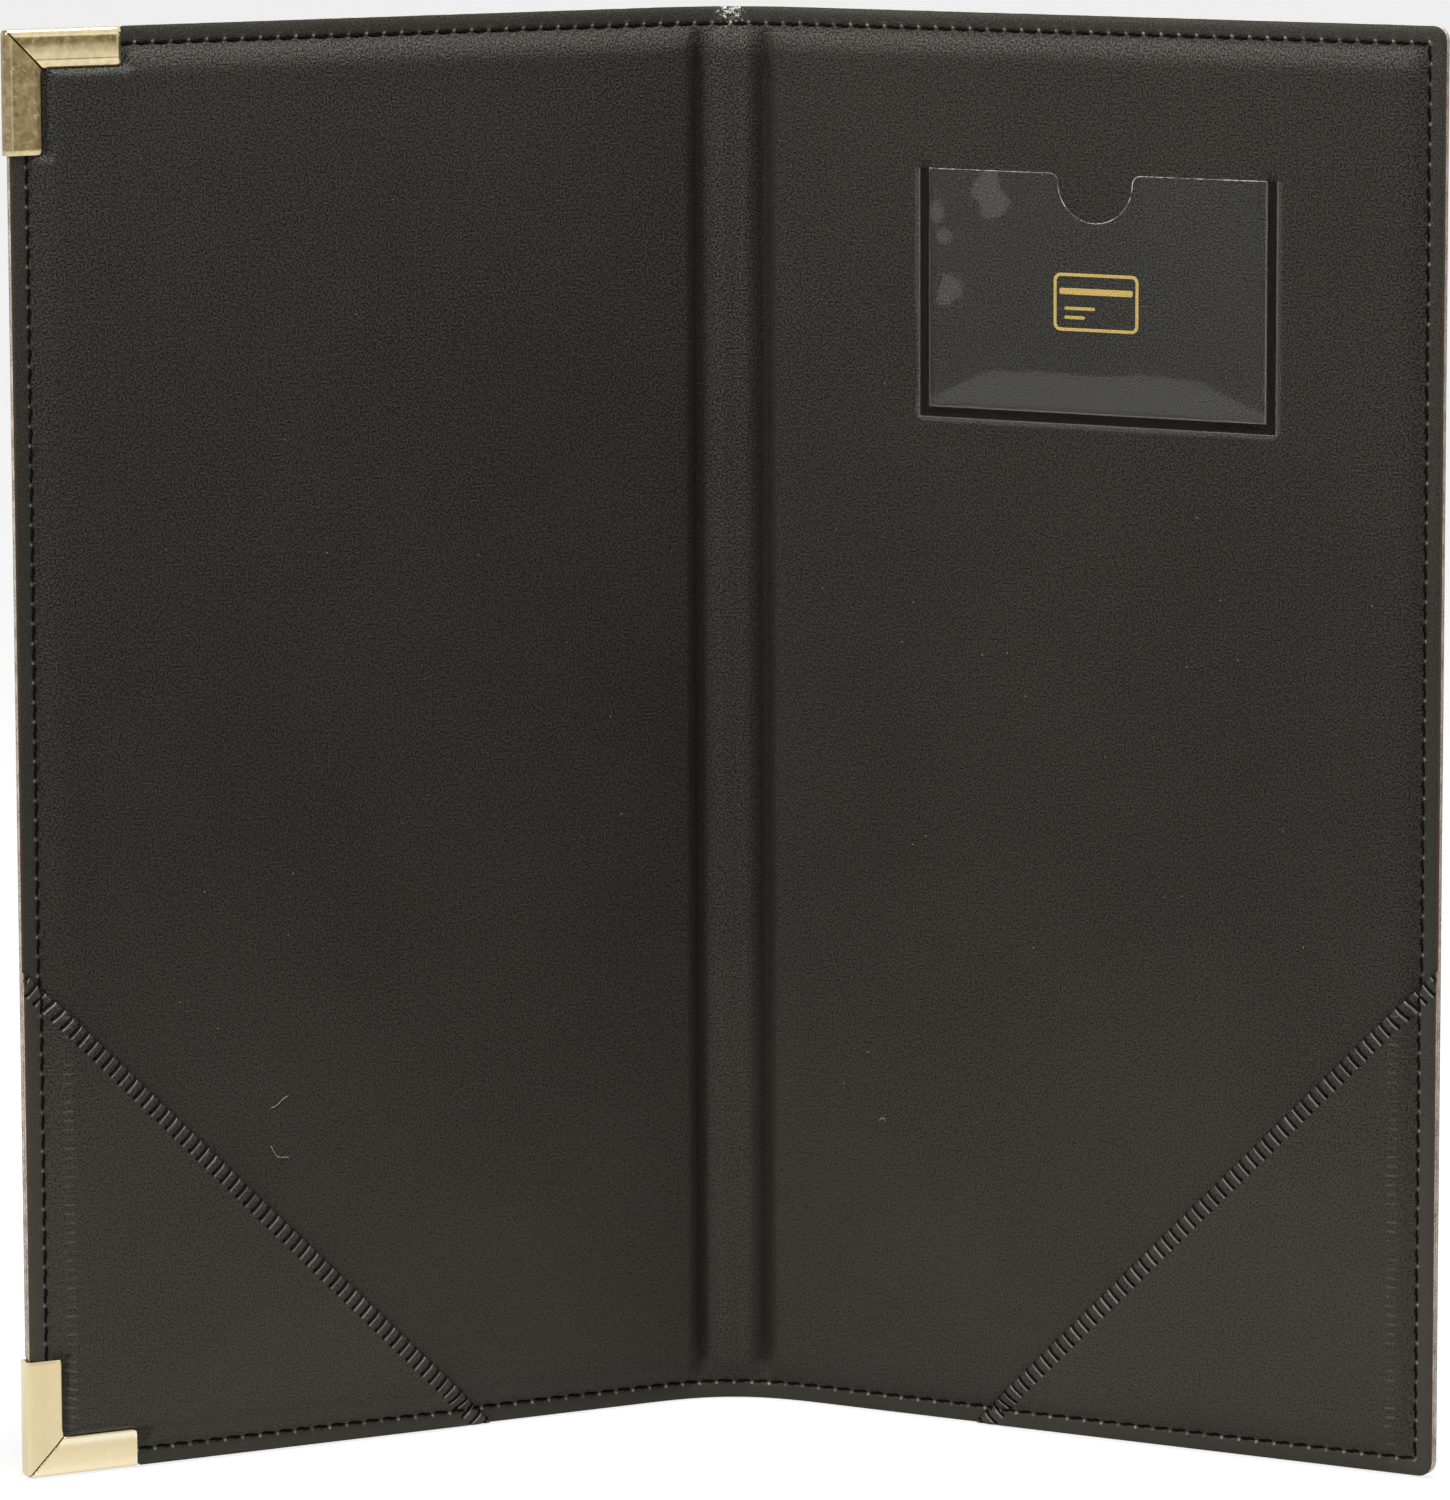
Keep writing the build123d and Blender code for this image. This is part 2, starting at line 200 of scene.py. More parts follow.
LATTICE = 64                  # cells of the noise's lattice, each way


def ripple(x, y, cell, seed):
    """Smooth noise from -1 to 1 over the plane, with features about one cell wide."""
    lattice = np.random.default_rng(seed).uniform(-1, 1, (LATTICE, LATTICE))
    column, across = np.divmod(np.asarray(x, float) / cell + 20, 1)
    row, up = np.divmod(np.asarray(y, float) / cell + 20, 1)
    column, row = column.astype(int), row.astype(int)
    across, up = smooth(across), smooth(up)
    left, right = column % LATTICE, (column + 1) % LATTICE
    low, high = (
        lattice[left, line % LATTICE] * (1 - across) + lattice[right, line % LATTICE] * across
        for line in (row, row + 1)
    )
    return low * (1 - up) + high * up


def waves(x, y, kinds, side=0):
    """The sum of ripples, each given as (height, cell, seed)."""
    return sum(height * ripple(x, y, cell, seed + side) for height, cell, seed in kinds)


def from_end(z):
    """Distance from the bottom or the top edge, whichever is nearer."""
    return np.minimum(z, HEIGHT - z)


def steps(low, high, pitch):
    """Evenly spaced values from low to high, about one pitch apart."""
    return np.linspace(low, high, max(2, int(round((high - low) / pitch)) + 1))


def spread(points, gap):
    """Drops each point that lies closer than gap to one before it."""
    kept, cells = [], {}
    for x, y in points:
        column, row = int(x // gap), int(y // gap)
        near = (cells.get((column + i, row + j)) for i in (-1, 0, 1) for j in (-1, 0, 1))
        if all(p is None or (p[0] - x) ** 2 + (p[1] - y) ** 2 >= gap * gap for p in near):
            cells[column, row] = (x, y)
            kept.append((x, y))
    return kept


# From the flat drawing to the standing presenter -----------------------------

def stand(side, s, z, n):
    """Points of one half, in metres. The leather bends about the fold line, softly in the margins."""
    s, z, n = np.broadcast_arrays(np.asarray(s, float), np.asarray(z, float), np.asarray(n, float))
    margin = 1 - smooth((from_end(z) - PAD_MARGIN) / BEND_FADE)
    before = BEND_PANEL[0] + (BEND_MARGIN[0] - BEND_PANEL[0]) * margin
    after = BEND_PANEL[1] + (BEND_MARGIN[1] - BEND_PANEL[1]) * margin
    past = s - (FOLD_X - before)
    bent = np.clip(past, 0, before + after)
    t = bent / (before + np.sqrt(before ** 2 + (after - before) * bent))
    flat = np.minimum(past, 0)
    beyond = np.maximum(past - before - after, 0)
    across = FOLD_X - before * (1 - t) ** 2 + after * cos(REST_FOLD) * t ** 2
    across = across + flat + beyond * cos(REST_FOLD)
    depth = (after * t ** 2 + beyond) * sin(REST_FOLD)
    run = before * (1 - t) + after * cos(REST_FOLD) * t
    fall = after * sin(REST_FOLD) * t
    length = np.sqrt(run ** 2 + fall ** 2)
    x = side * (across - n * fall / length)
    y = FOLD_Y - (depth + n * run / length)
    return np.stack([x, y, z], -1) * MM


def add_piece(name, points, faces, materials, slots=None, uv=None, sharp=40):
    """A mesh object from points in metres. UVs, in metres, are given for each point."""
    mesh = bpy.data.meshes.new(name)
    mesh.from_pydata([tuple(p) for p in points], [], [list(f) for f in faces])
    for material in materials:
        mesh.materials.append(material)
    if slots is not None:
        mesh.polygons.foreach_set("material_index", np.asarray(slots, np.int32))
    if uv is not None:
        layer = mesh.uv_layers.new(name="Surface")
        corners = np.zeros(len(mesh.loops), np.int32)
        mesh.loops.foreach_get("vertex_index", corners)
        layer.data.foreach_set("uv", np.asarray(uv, np.float32)[corners].ravel())
    mesh.polygons.foreach_set("use_smooth", [True] * len(mesh.polygons))
    mesh.update()
    mesh.set_sharp_from_angle(angle=radians(sharp))
    piece = bpy.data.objects.new(name, mesh)
    bpy.context.scene.collection.objects.link(piece)
    return piece


def triangulate(outline, dots):
    """Triangles inside an outline, through all dots: (points, faces, the outline's points)."""
    count = len(outline)
    places = [Vector(p) for p in list(outline) + list(dots)]
    points, _, faces, sources, _, _ = delaunay_2d_cdt(places, [], [list(range(count))], 1, 1e-5)
    loop = [0] * count
    for index, origins in enumerate(sources):
        for origin in origins:
            if origin < count:
                loop[origin] = index
    return np.array([tuple(p) for p in points]), [list(f) for f in faces], loop


def shell(outline, dots, plain_dots, face, back, coat=COAT, sign=1):
    """A closed skin over a flat outline: a detailed face, a wall in two bands and a plain back.
    The face rises to +n where sign is 1. Returns flat points (s, z, n), faces and their slots."""
    flat, faces, loop = triangulate(outline, dots)
    plain, plain_faces, plain_loop = triangulate(outline, plain_dots)
    rim = np.array([flat[i] for i in loop])
    band = np.column_stack([rim, sign * (face(*rim.T) - coat)])
    points = np.vstack([
        np.column_stack([flat, sign * face(*flat.T)]),
        np.column_stack([plain, sign * back(*plain.T)]),
        band,
    ])
    under, middle = len(flat), len(flat) + len(plain)
    walls, count = [], len(loop)
    rims = (loop, [middle + i for i in range(count)], [under + i for i in plain_loop])
    for above, below in zip(rims, rims[1:]):
        for i in range(count):
            j = (i + 1) % count
            walls.append([above[j], above[i], below[i], below[j]])
    backs = [[under + v for v in reversed(f)] for f in plain_faces]
    everything = faces + walls + backs
    slots = [0] * (len(faces) + count) + [1] * (count + len(backs))
    if sign < 0:
        everything = [f[::-1] for f in everything]
    return points, everything, slots


def place(name, side, form, materials, move=None, sharp=40):
    """Stands a flat form up as a piece of one half; move shifts its flat points first."""
    points, faces, slots = form
    s, z, n = points.T
    if move:
        s, z = move(s, z)
    if side < 0:
        faces = [f[::-1] for f in faces]
    uv = np.column_stack([side * s, z]) * MM
    return add_piece(name, stand(side, s, z, n), faces, materials, slots, uv, sharp)


def add_tubes(name, paths, up, radius, material, sides=6):
    """A piece of closed round tubes along equally long paths (tube, point, xyz), in metres."""
    along = np.gradient(paths, axis=1)
    along /= np.linalg.norm(along, axis=2, keepdims=True)
    across = np.cross(along, up)
    across /= np.maximum(np.linalg.norm(across, axis=2, keepdims=True), 1e-9)
    over = np.cross(across, along)
    turn = np.arange(sides) * 2 * pi / sides
    ring = across[:, :, None] * np.cos(turn)[:, None] + over[:, :, None] * np.sin(turn)[:, None]
    points = paths[:, :, None] + ring * np.asarray(radius).reshape(1, -1, 1, 1)
    count, length = paths.shape[:2]
    travelled = np.linalg.norm(np.diff(paths, axis=1, prepend=paths[:, :1]), axis=2).cumsum(1)
    uv = np.stack(np.broadcast_arrays(travelled[:, :, None], turn * np.max(radius)), -1)
    faces = []
    for tube in range(count):
        first = tube * length * sides
        for i in range(length - 1):
            low, high = first + i * sides, first + (i + 1) * sides
            for k in range(sides):
                after = (k + 1) % sides
                faces.append([low + k, low + after, high + after, high + k][::-1])
        faces.append([first + k for k in range(sides)])
        faces.append([first + (length - 1) * sides + k for k in range(sides)][::-1])
    uv = uv.reshape(-1, 2)
    return add_piece(name, points.reshape(-1, 3), faces, [material], uv=uv, sharp=80)


# Materials -------------------------------------------------------------------

class Field:
    """A value over a surface. Sums, differences and products of fields add math nodes."""

    def __init__(self, nodes, socket):
        self.nodes, self.socket = nodes, socket

    def __add__(self, other):
        return self.nodes.math("ADD", self, other)

    def __sub__(self, other):
        return self.nodes.math("SUBTRACT", self, other)

    def __rsub__(self, other):
        return self.nodes.math("SUBTRACT", other, self)

    def __mul__(self, other):
        return self.nodes.math("MULTIPLY", self, other)

    def __abs__(self):
        return self.nodes.math("ABSOLUTE", self)


class Nodes:
    """The node tree of a new material or of a world, with short calls to add and link nodes."""

    def __init__(self, name, world=None):
        self.material = world or bpy.data.materials.new(name)
        self.material.use_nodes = True
        self.tree = self.material.node_tree
        self.shader = self.tree.nodes["Background" if world else "Principled BSDF"]

    def seen(self):
        """1 where it is seen, mirrored or looked through, and 0 for the light that it gives."""
        rays = self.add("LightPath").outputs
        return self.most(*(rays[f"Is {kind} Ray"] for kind in ("Camera", "Glossy", "Transmission")))

    def add(self, kind, inputs=(), **settings):
        node = self.tree.nodes.new("ShaderNode" + kind)
        for key, value in settings.items():
            setattr(node, key, value)
        for key, value in dict(inputs).items():
            self.put(node.inputs[key], value)
        return node

    def field(self, kind, inputs, output=0, **settings):
        return Field(self, self.add(kind, inputs, **settings).outputs[output])

    def put(self, socket, value):
        if isinstance(value, Field):
            value = value.socket
        if isinstance(value, bpy.types.NodeSocket):
            self.tree.links.new(value, socket)
        else:
            socket.default_value = value

    def set(self, **values):
        """Sets shader inputs by name, with _ for a space, and returns the material."""
        for key, value in values.items():
            self.put(self.shader.inputs[key.replace("_", " ")], value)
        return self.material

    def math(self, operation, a, b=0.0, clamp=False):
        return self.field("Math", {0: a, 1: b}, operation=operation, use_clamp=clamp)

    def least(self, value, *others):
        for other in others:
            value = self.math("MINIMUM", value, other)
        return value

    def most(self, value, *others):
        for other in others:
            value = self.math("MAXIMUM", value, other)
        return value

    def ramp(self, value, low, high, to_low=0.0, to_high=1.0):
        """A smooth step from to_low, where value is low, to to_high, where it is high."""
        inputs = {0: value, 1: low, 2: high, 3: to_low, 4: to_high}
        return self.field("MapRange", inputs, interpolation_type="SMOOTHSTEP")

    def fade(self, length, low, high, to_low=0.0, to_high=1.0):
        """A ramp over a length, with its limits in millimetres."""
        return self.ramp(length, low * MM, high * MM, to_low, to_high)

    def band(self, length, middle, full, gone, peak=1.0):
        """At its peak within full of the middle, and 0 from gone on, in millimetres."""
        return self.fade(abs(length - middle * MM), full, gone, peak, 0.0)

    def colours(self, value, dark, light):
        return self.blend(value, (*dark, 1), (*light, 1))

    def blend(self, share, colour, other):
        """Mixes two colours by a share."""
        return self.add("Mix", {0: share, 6: colour, 7: other}, data_type="RGBA").outputs[2]

    def profile(self, place, stops):
        """A brightness that follows (millimetres across the metal, value) stops."""
        node = self.add("ValToRGB", {0: place})
        ramp = node.color_ramp
        for index, (distance, value) in enumerate(stops):
            spot = distance / METAL_WIDTH
            stop = ramp.elements[index] if index < 2 else ramp.elements.new(spot)
            stop.position, stop.color = spot, (value, value, value, 1)
        return node.outputs[0]

    def surface(self):
        """Flat coordinates on the leather, in metres."""
        return self.add("UVMap", uv_map="Surface").outputs[0]

    def object_place(self):
        return self.add("TexCoord").outputs["Object"]

    def axes(self, place):
        """(across, up) of a place."""
        node = self.add("SeparateXYZ", {0: place})
        return Field(self, node.outputs[0]), Field(self, node.outputs[1])

    def spans(self, place):
        """(distance from the spine's middle, height) of a place on the leather."""
        across, up = self.axes(place)
        return abs(across), up

    def from_ends(self, z):
        """Distance from the bottom or the top edge, whichever is nearer."""
        return self.least(z, HEIGHT * MM - z)

    def noise(self, place, scale, detail=2.0, rough=0.5, stretch=None):
        if stretch:
            place = self.add("Mapping", {0: place, 3: stretch}).outputs[0]
        inputs = {"Vector": place, "Scale": scale, "Detail": detail, "Roughness": rough}
        return self.field("TexNoise", inputs, "Fac")

    def bump(self, height, strength, distance):
        inputs = {"Height": height, "Strength": strength, "Distance": distance}
        return self.add("Bump", inputs).outputs[0]


LEATHER_DARK = (0.004, 0.0039, 0.0031)
LEATHER_LIGHT = (0.0285, 0.027, 0.0212)
# colour of the painted shade in the grooves beside the spine
GROOVE_SHADE_COLOUR = (0.004, 0.004, 0.003, 1)
SEAM_SHADE = (0.0012, 0.0012, 0.001, 1)
EDGE_FRINGE_COLOUR = (0.045, 0.026, 0.014, 1)
# colour of the painted glints and highlights on the leather
GLINT = (0.2, 0.195, 0.18, 1)
WORN = (0.5, 0.48, 0.44, 1)
MITRE_SHADE = (0.16, 0.09, 0.03, 1)
GRAIN = 0.36                  # across one pebble of the leather's grain
IMPRINT_PITCH = 1.66          # rungs pressed through a pocket, beside its fore edge
IMPRINT_FROM_FORE = 7.2
PLY_PITCH = (0.6, 0.8)        # of the twisted thread's plies, along it and round it


def leatherette(name, painted_lightness=1.0, pocket=False):
    """Coated leatherette: fine pebbled grain, flatter in the margins, and slightly uneven gloss."""
    m = Nodes(name)
    place = m.surface()
    s, z = m.spans(place)
    edge = m.least(FORE * MM - s, m.from_ends(z))
    inner = m.fade(edge, SEAM_OFFSET - 0.4, SEAM_OFFSET + 0.6, 0.4, 1.0)
    pebbles = m.noise(place, 1 / (GRAIN * MM), 4.0, 0.75)
    creases = abs(m.noise(place, 0.6 / (GRAIN * MM), 2.0) - 0.5)
    broad = m.noise(place, 24.0, 3.0)
    # painted light: the grain's contrast grows towards the top, where the light grazes the leather
    contrast = m.fade(z, 100, 230, 1.35, 2.2)
    tone = m.ramp(pebbles, 0.36, 0.64, -0.5, 0.5) * contrast * inner
    tone = tone + m.ramp(broad, 0.35, 0.65, 0.45, 0.55) + (0.25 - inner * 0.25)
    # painted light: the leather is painted brighter towards the bottom, as if lit from the floor, and
    # towards the top
    tone = tone + (m.fade(z, 20, 120, 0.3, -0.05) + m.fade(z, 190, 250, 0.0, 0.12))
    dark, light = ([painted_lightness * c for c in colour] for colour in (LEATHER_DARK, LEATHER_LIGHT))
    colour = m.blend(groove_shade(m, place), m.colours(tone, dark, light), GROOVE_SHADE_COLOUR)
    # painted glints on the grain's pebbles, mostly near the top, on the top shoulder and on the
    # spine's ridge
    colour = m.blend(painted_pebble_glints(m, place, pebbles) * inner, colour, GLINT)
    shade, glint = seam_marks(m, place)
    if pocket:
        ladder_shade, crests = ladder_marks(m, place)
        shade = m.most(shade, ladder_shade)
        # painted highlights on the ladder's crests and on the imprinted rungs
        glint = m.most(glint, crests, ladder_imprint(m, place) * 0.12)
    # painted shade along the seams and the overedge stitches, then painted glints
    colour = m.blend(shade * 0.85, colour, SEAM_SHADE)
    colour = m.blend(glint, colour, GLINT)
    # a brownish fringe along the cut edges, except along the top
    edge_fringe = m.fade(edge, 0.15, 0.45, 0.8, 0.0) * m.fade(z, HEIGHT - 12, HEIGHT - 2, 1.0, 0.0)
    colour = m.blend(edge_fringe, colour, EDGE_FRINGE_COLOUR)
    return m.set(
        Base_Color=m.blend(spine_wear(m, place), colour, WORN),
        Roughness=m.ramp(broad, 0.3, 0.7, 0.295, 0.315),
        Specular_IOR_Level=m.ramp(shade, 0.0, 1.0, 0.075, 0.01),
        Normal=m.bump((pebbles + creases * 1.2) * inner, 1.0, 0.2 * MM),
    )


def painted_pebble_glints(m, place, pebbles):
    """Painted glints on the tops of the pebbles: more of them towards the top, on its shoulder and on
    the ridge.
    """
    s, z = m.spans(place)
    up, crest = m.fade(z, 120, HEIGHT), m.band(s, 2.0, 0.2, 1.6)
    shoulder = m.band(HEIGHT * MM - z, 5.6, 0.6, 3.2)
    share = up * 0.065 + crest * 0.04 + up * crest * 0.05 + shoulder * 0.19
    return m.ramp(pebbles, 0.46, 0.7) * share


def groove_shade(m, place):
    """Painted shade: the grooves beside the spine are painted darker, where their walls shade them."""
    s, z = m.spans(place)
    return m.band(s, FOLD_X - 0.5, 0.0, 2.1, 0.75) * m.fade(m.from_ends(z), PAD_MARGIN, 9)


def seam_marks(m, place):
    """(painted shade in dashes under the stitches, painted glints beside the needle holes)"""
    s, z = m.spans(place)
    from_end, from_fore = m.from_ends(z), FORE * MM - s
    uneven = m.ramp(m.noise(place, 900.0, 1.0), 0.35, 0.6, 0.25, 1.0)
    dark, glint = 0.0, 0.0
    rows = (
        (from_end, s, from_fore, PITCH_ACROSS, 1.0),
        (from_fore, z - SEAM_OFFSET * MM, from_end, PITCH_UP, 0.5),
    )
    for inward, along, other, pitch, shine in rows:
        turns = along * (1 / (pitch * MM))
        hole = (turns - m.math("ROUND", turns)) * (pitch * MM)
        off = inward - SEAM_OFFSET * MM
        on_row = m.fade(other, SEAM_OFFSET - 0.4, SEAM_OFFSET - 0.1)
        # a dash of painted shade along each stitch
        dash = m.fade(abs(off + hole * 0.1), 0.14, 0.34, 1.0, 0.0) * m.fade(abs(hole), 0.3, 0.7)
        dark = m.most(dark, dash * on_row)
        beside = off + 0.34 * MM
        reach = m.math("SQRT", beside * beside + hole * hole)
        # a painted glint beside each needle hole
        dot = m.fade(reach, 0.14, 0.36, 1.0, 0.0) * on_row
        glint = m.most(glint, dot * uneven * shine)
    return dark, glint


def ladder_marks(m, place):
    """(painted shade in the creases along the overedge stitches and at their needle holes, painted
    highlights on the crests beside them)
    """
    s, z = m.spans(place)
    from_fore = FORE * MM - s
    inward = (POCKET_LEG * MM - (from_fore + z)) * (1 / sqrt(2))
    turns = (POCKET_LEG * MM - (from_fore - z)) * (LADDER_COUNT / (MOUTH * MM * sqrt(2)))
    off = (m.math("FRACT", turns) - 0.5) * (MOUTH * MM / LADDER_COUNT)
    within = m.fade(inward, -0.3, 0.2) * m.fade(inward, LADDER_REACH, LADDER_REACH + 0.3, 1.0, 0.0)
    # painted highlight on each crest; painted shade in each crease and at each needle hole
    crest = m.band(off, -0.32, 0.06, 0.22, 0.75)
    groove = m.band(off, 0.12, 0.18, 0.4, 0.42)
    hole = m.band(inward, LADDER_REACH - 0.15, 0.2, 0.45) * m.band(off, 0.12, 0.3, 0.5)
    return m.most(groove, hole) * within, crest * within


def ladder_imprint(m, place):
    """Painted highlights on the faint rungs pressed through the pocket by the seam behind it, beside
    the fore edge.
    """
    s, z = m.spans(place)
    strip = m.band(s, FORE - IMPRINT_FROM_FORE, 0.6, 1.1)
    wave = m.math("SINE", z * (2 * pi / (IMPRINT_PITCH * MM)))
    kept = m.ramp(m.noise(place, 300.0, 1.0), 0.35, 0.6, 0.2, 1.0)
    return strip * m.ramp(wave, 0.5, 0.95) * kept


def spine_wear(m, place):
    """The coat is worn through in spots where the spine meets the top edge."""
    s, z = m.spans(place)
    near, top = m.fade(s, 1.4, 3.6, 1.0, 0.0), m.fade(z, HEIGHT - 5.0, HEIGHT - 0.3)
    spots = m.noise(place, 1500.0, 3.0, 0.7) + near * top * 0.12
    return near * m.ramp(top, 0.0, 0.5) * m.ramp(spots, 0.58, 0.74, 0.0, 0.8)


def backing_fabric():
    """The coated cloth's raw edge and underside: pale fibres, with darker ones mixed in at random."""
    m = Nodes("backing_fabric")
    place = m.object_place()
    fibres = m.noise(place, 2600.0, 3.0, 0.6)
    tone = fibres * 0.6 + m.noise(place, 260.0, 2.0) * 0.4
    return m.set(
        Base_Color=m.colours(m.ramp(tone, 0.35, 0.65), (0.13, 0.108, 0.09), (0.42, 0.37, 0.32)),
        Roughness=0.9,
        Specular_IOR_Level=0.2,
        Normal=m.bump(fibres, 0.6, 0.2 * MM),
    )


def thread_material(name, dark, light):
    """Twisted polyester thread: two plies that show as slanted bands."""
    m = Nodes(name)
    place = m.surface()
    along, round_it = m.axes(place)
    slant = along * (2 * pi / (PLY_PITCH[0] * MM)) + round_it * (2 * pi / (PLY_PITCH[1] * MM))
    tone = (m.math("SINE", slant) + 1.0) * 0.5 * 0.6 + m.noise(place, 9000.0, 2.0) * 0.4
    return m.set(
        Base_Color=m.colours(tone, dark, light),
        Roughness=0.7,
        Specular_IOR_Level=0.03,
        Normal=m.bump(tone, 0.7, 0.08 * MM),
    )


def brass_material(name, dark, light, upright, level, wear_and_end_glint):
    """Plated brass. The two legs carry painted highlights and painted shade in place of reflections:
    each profile lists (distance in from the outer edge in millimetres, brightness), along its section."""
    m = Nodes(name)
    place = m.object_place()
    turned = m.add("Mapping", {0: place, 2: (0.0, 0.75, 0.0)}).outputs[0]
    lines = m.noise(place, 420.0, 2.0, 0.5, (1.0, 1.0, 7.0))
    slants = m.noise(turned, 300.0, 2.0, 0.5, (7.0, 7.0, 1.0))
    patches, pits = m.noise(place, 600.0, 4.0, 0.65), m.noise(place, 1900.0, 2.0)
    s, z = m.axes(m.surface())
    from_end, from_fore = m.from_ends(z), (FORE + METAL_PROUD) * MM - s
    across = m.least(from_end, from_fore) * (1 / (METAL_WIDTH * MM))
    beside = from_fore - from_end
    legs = {0: m.fade(beside, -0.1, 0.1), 2: m.profile(across, upright), 3: m.profile(across, level)}
    # painted highlight on the lip at each leg's end, stronger on the worn top corner
    end = m.fade(m.most(from_end, from_fore), METAL_LEG - 1.2, METAL_LEG - 0.7, 0.0, 0.6 * wear_and_end_glint)
    mottle = (m.ramp(patches, 0.3, 0.7) - 0.5) * (0.3 * wear_and_end_glint)
    marks = m.most(m.ramp(lines, 0.68, 0.72), m.ramp(slants, 0.66, 0.7)) * wear_and_end_glint
    tone = m.math("ADD", m.most(m.field("Mix", legs), end) + mottle, marks * 0.35, True)
    mitre = m.fade(abs(beside), 0.1, 0.32, 0.85, 0.0)
    return m.set(
        Metallic=1.0,
        Base_Color=m.blend(mitre, m.colours(tone, dark, light), MITRE_SHADE),
        Roughness=abs(mottle) * 0.6 + 0.17,
        Normal=m.bump(m.ramp(pits, 0.62, 0.7) * wear_and_end_glint + patches * 1.5, -0.6, 0.06 * MM),
    )


def film_material():
    """Clear vinyl: painted reflections over the pocket, in round spots and a band low down, a dark
    fused weld and a raised rim that glints.
    """
    m = Nodes("clear_film")
    place = m.surface()
    s, z = m.axes(place)
    near, far = s - (FOLD_X + WINDOW_NEAR) * MM, (FOLD_X + WINDOW_FAR) * MM - s
    low = z - WINDOW_LOW * MM
    depth = m.least(near, far, low)
    weld_end = WELD_BEAD + WELD_CHANNEL
    inside = m.fade(depth, weld_end, weld_end + 0.4)
    fused = m.fade(depth, WELD_BEAD - 0.2, WELD_BEAD) - inside
    rim = m.fade(depth, WELD_BEAD - 0.2, WELD_BEAD, 1.0, 0.0)
    wander = m.ramp(m.noise(place, 260.0, 1.0), 0.3, 0.7, -0.7 * MM, 0.7 * MM)
    painted_reflections = 0.0
    for u, height, radius in PAINTED_REFLECTION_SPOTS:
        centre = ((FOLD_X + u) * MM, height * MM, 0)
        reach = m.field("VectorMath", {0: place, 1: centre}, "Value", operation="DISTANCE") + wander
        painted_reflections = m.most(painted_reflections, m.fade(reach, radius - 0.25, radius + 0.25, 1.0, 0.0))
    # a painted reflection in a band across the lower part of the film
    slope = m.least(m.least(near, far) * 0.45 + 1.8 * MM, 8.8 * MM) + m.noise(place, 90.0) * (2.2 * MM)
    painted_reflections = m.most(painted_reflections, m.fade(low - slope, -0.2, 0.2, 1.0, 0.0) * 0.8)
    return m.set(
        Base_Color=m.colours(fused, (0.55, 0.55, 0.52), (0.012, 0.011, 0.009)),
        Roughness=painted_reflections * 0.1 + 0.16,
        Specular_IOR_Level=inside * 0.08,
        Normal=m.bump(m.noise(place, 110.0, 2.0), 0.06, 0.5 * MM),
        Alpha=(painted_reflections * 0.02 + 0.006) * inside + (fused * 0.5 + rim * 0.03),
    )


def speckled(name, scale, detail, dark, light, rough=0.5, **settings):
    """A plain material whose colour varies in fine specks: (its nodes, the specks)."""
    m = Nodes(name)
    specks = m.noise(m.object_place(), scale, detail, rough)
    m.set(Base_Color=m.colours(m.ramp(specks, 0.35, 0.65), dark, light), **settings)
    return m, specks


def lint_material():
    colours = (0.05, 0.048, 0.04), (0.2, 0.19, 0.16)
    return speckled("lint", 4000.0, 2.0, *colours, Roughness=0.8)[0].material


def film_edge_material():
    """The film's cut edge gathers light and shows as a thin bright line."""
    m, _ = speckled("film_edge", 900.0, 3.0, (0.1, 0.1, 0.095), (0.75, 0.75, 0.72), Roughness=0.3)
    return m.set(Alpha=m.ramp(m.noise(m.object_place(), 130.0, 2.0), 0.4, 0.62, 0.3, 0.6))


def board_material():
    colours = (0.3, 0.27, 0.22), (0.46, 0.42, 0.35)
    m, fibres = speckled("grey_board", 900.0, 4.0, *colours, rough=0.7, Roughness=0.9)
    return m.set(Normal=m.bump(fibres, 0.4, 0.1 * MM))


def foil_material():
    """Gold foil, stamped into the grain."""
    m = Nodes("gold_foil")
    speckle = m.noise(m.surface(), 5200.0, 2.0)
    return m.set(
        Metallic=1.0,
        Base_Color=m.colours(m.ramp(speckle, 0.4, 0.6), (0.3, 0.2, 0.05), (0.55, 0.41, 0.14)),
        Roughness=0.42,
        Normal=m.bump(speckle, 0.4, 0.06 * MM),
    )


def foam_material():
    m = Nodes("foam")
    cells = m.field("TexVoronoi", {"Vector": m.object_place(), "Scale": 1800.0}, "Distance")
    return m.set(
        Base_Color=m.colours(m.ramp(cells, 0.0, 0.6), (0.55, 0.53, 0.46), (0.78, 0.76, 0.7)),
        Roughness=0.95,
        Normal=m.bump(cells, -0.6, 0.2 * MM),
    )


# Relief of the leather -------------------------------------------------------

SEAM_REACH = FORE - SEAM_OFFSET
PITCH_ACROSS = SEAM_REACH / STITCHES_ACROSS
PITCH_UP = (HEIGHT - 2 * SEAM_OFFSET) / STITCHES_UP


def stitch_relief(off, along, pitch):
    """How a row of stitches shapes the leather: a drawn-in line, with small rims at the holes."""
    hole = along - np.round(along / pitch) * pitch
    line = -VALLEY * bell(off, SEAM_LINE) * (1 - 0.5 * bell(hole, 0.4))
    rims = [bell(off + 0.5 * way, 0.3) * bell(hole + 0.17 * way, 0.34) for way in (-1, 1)]
    return line + HOLE_RIM * sum(rims)


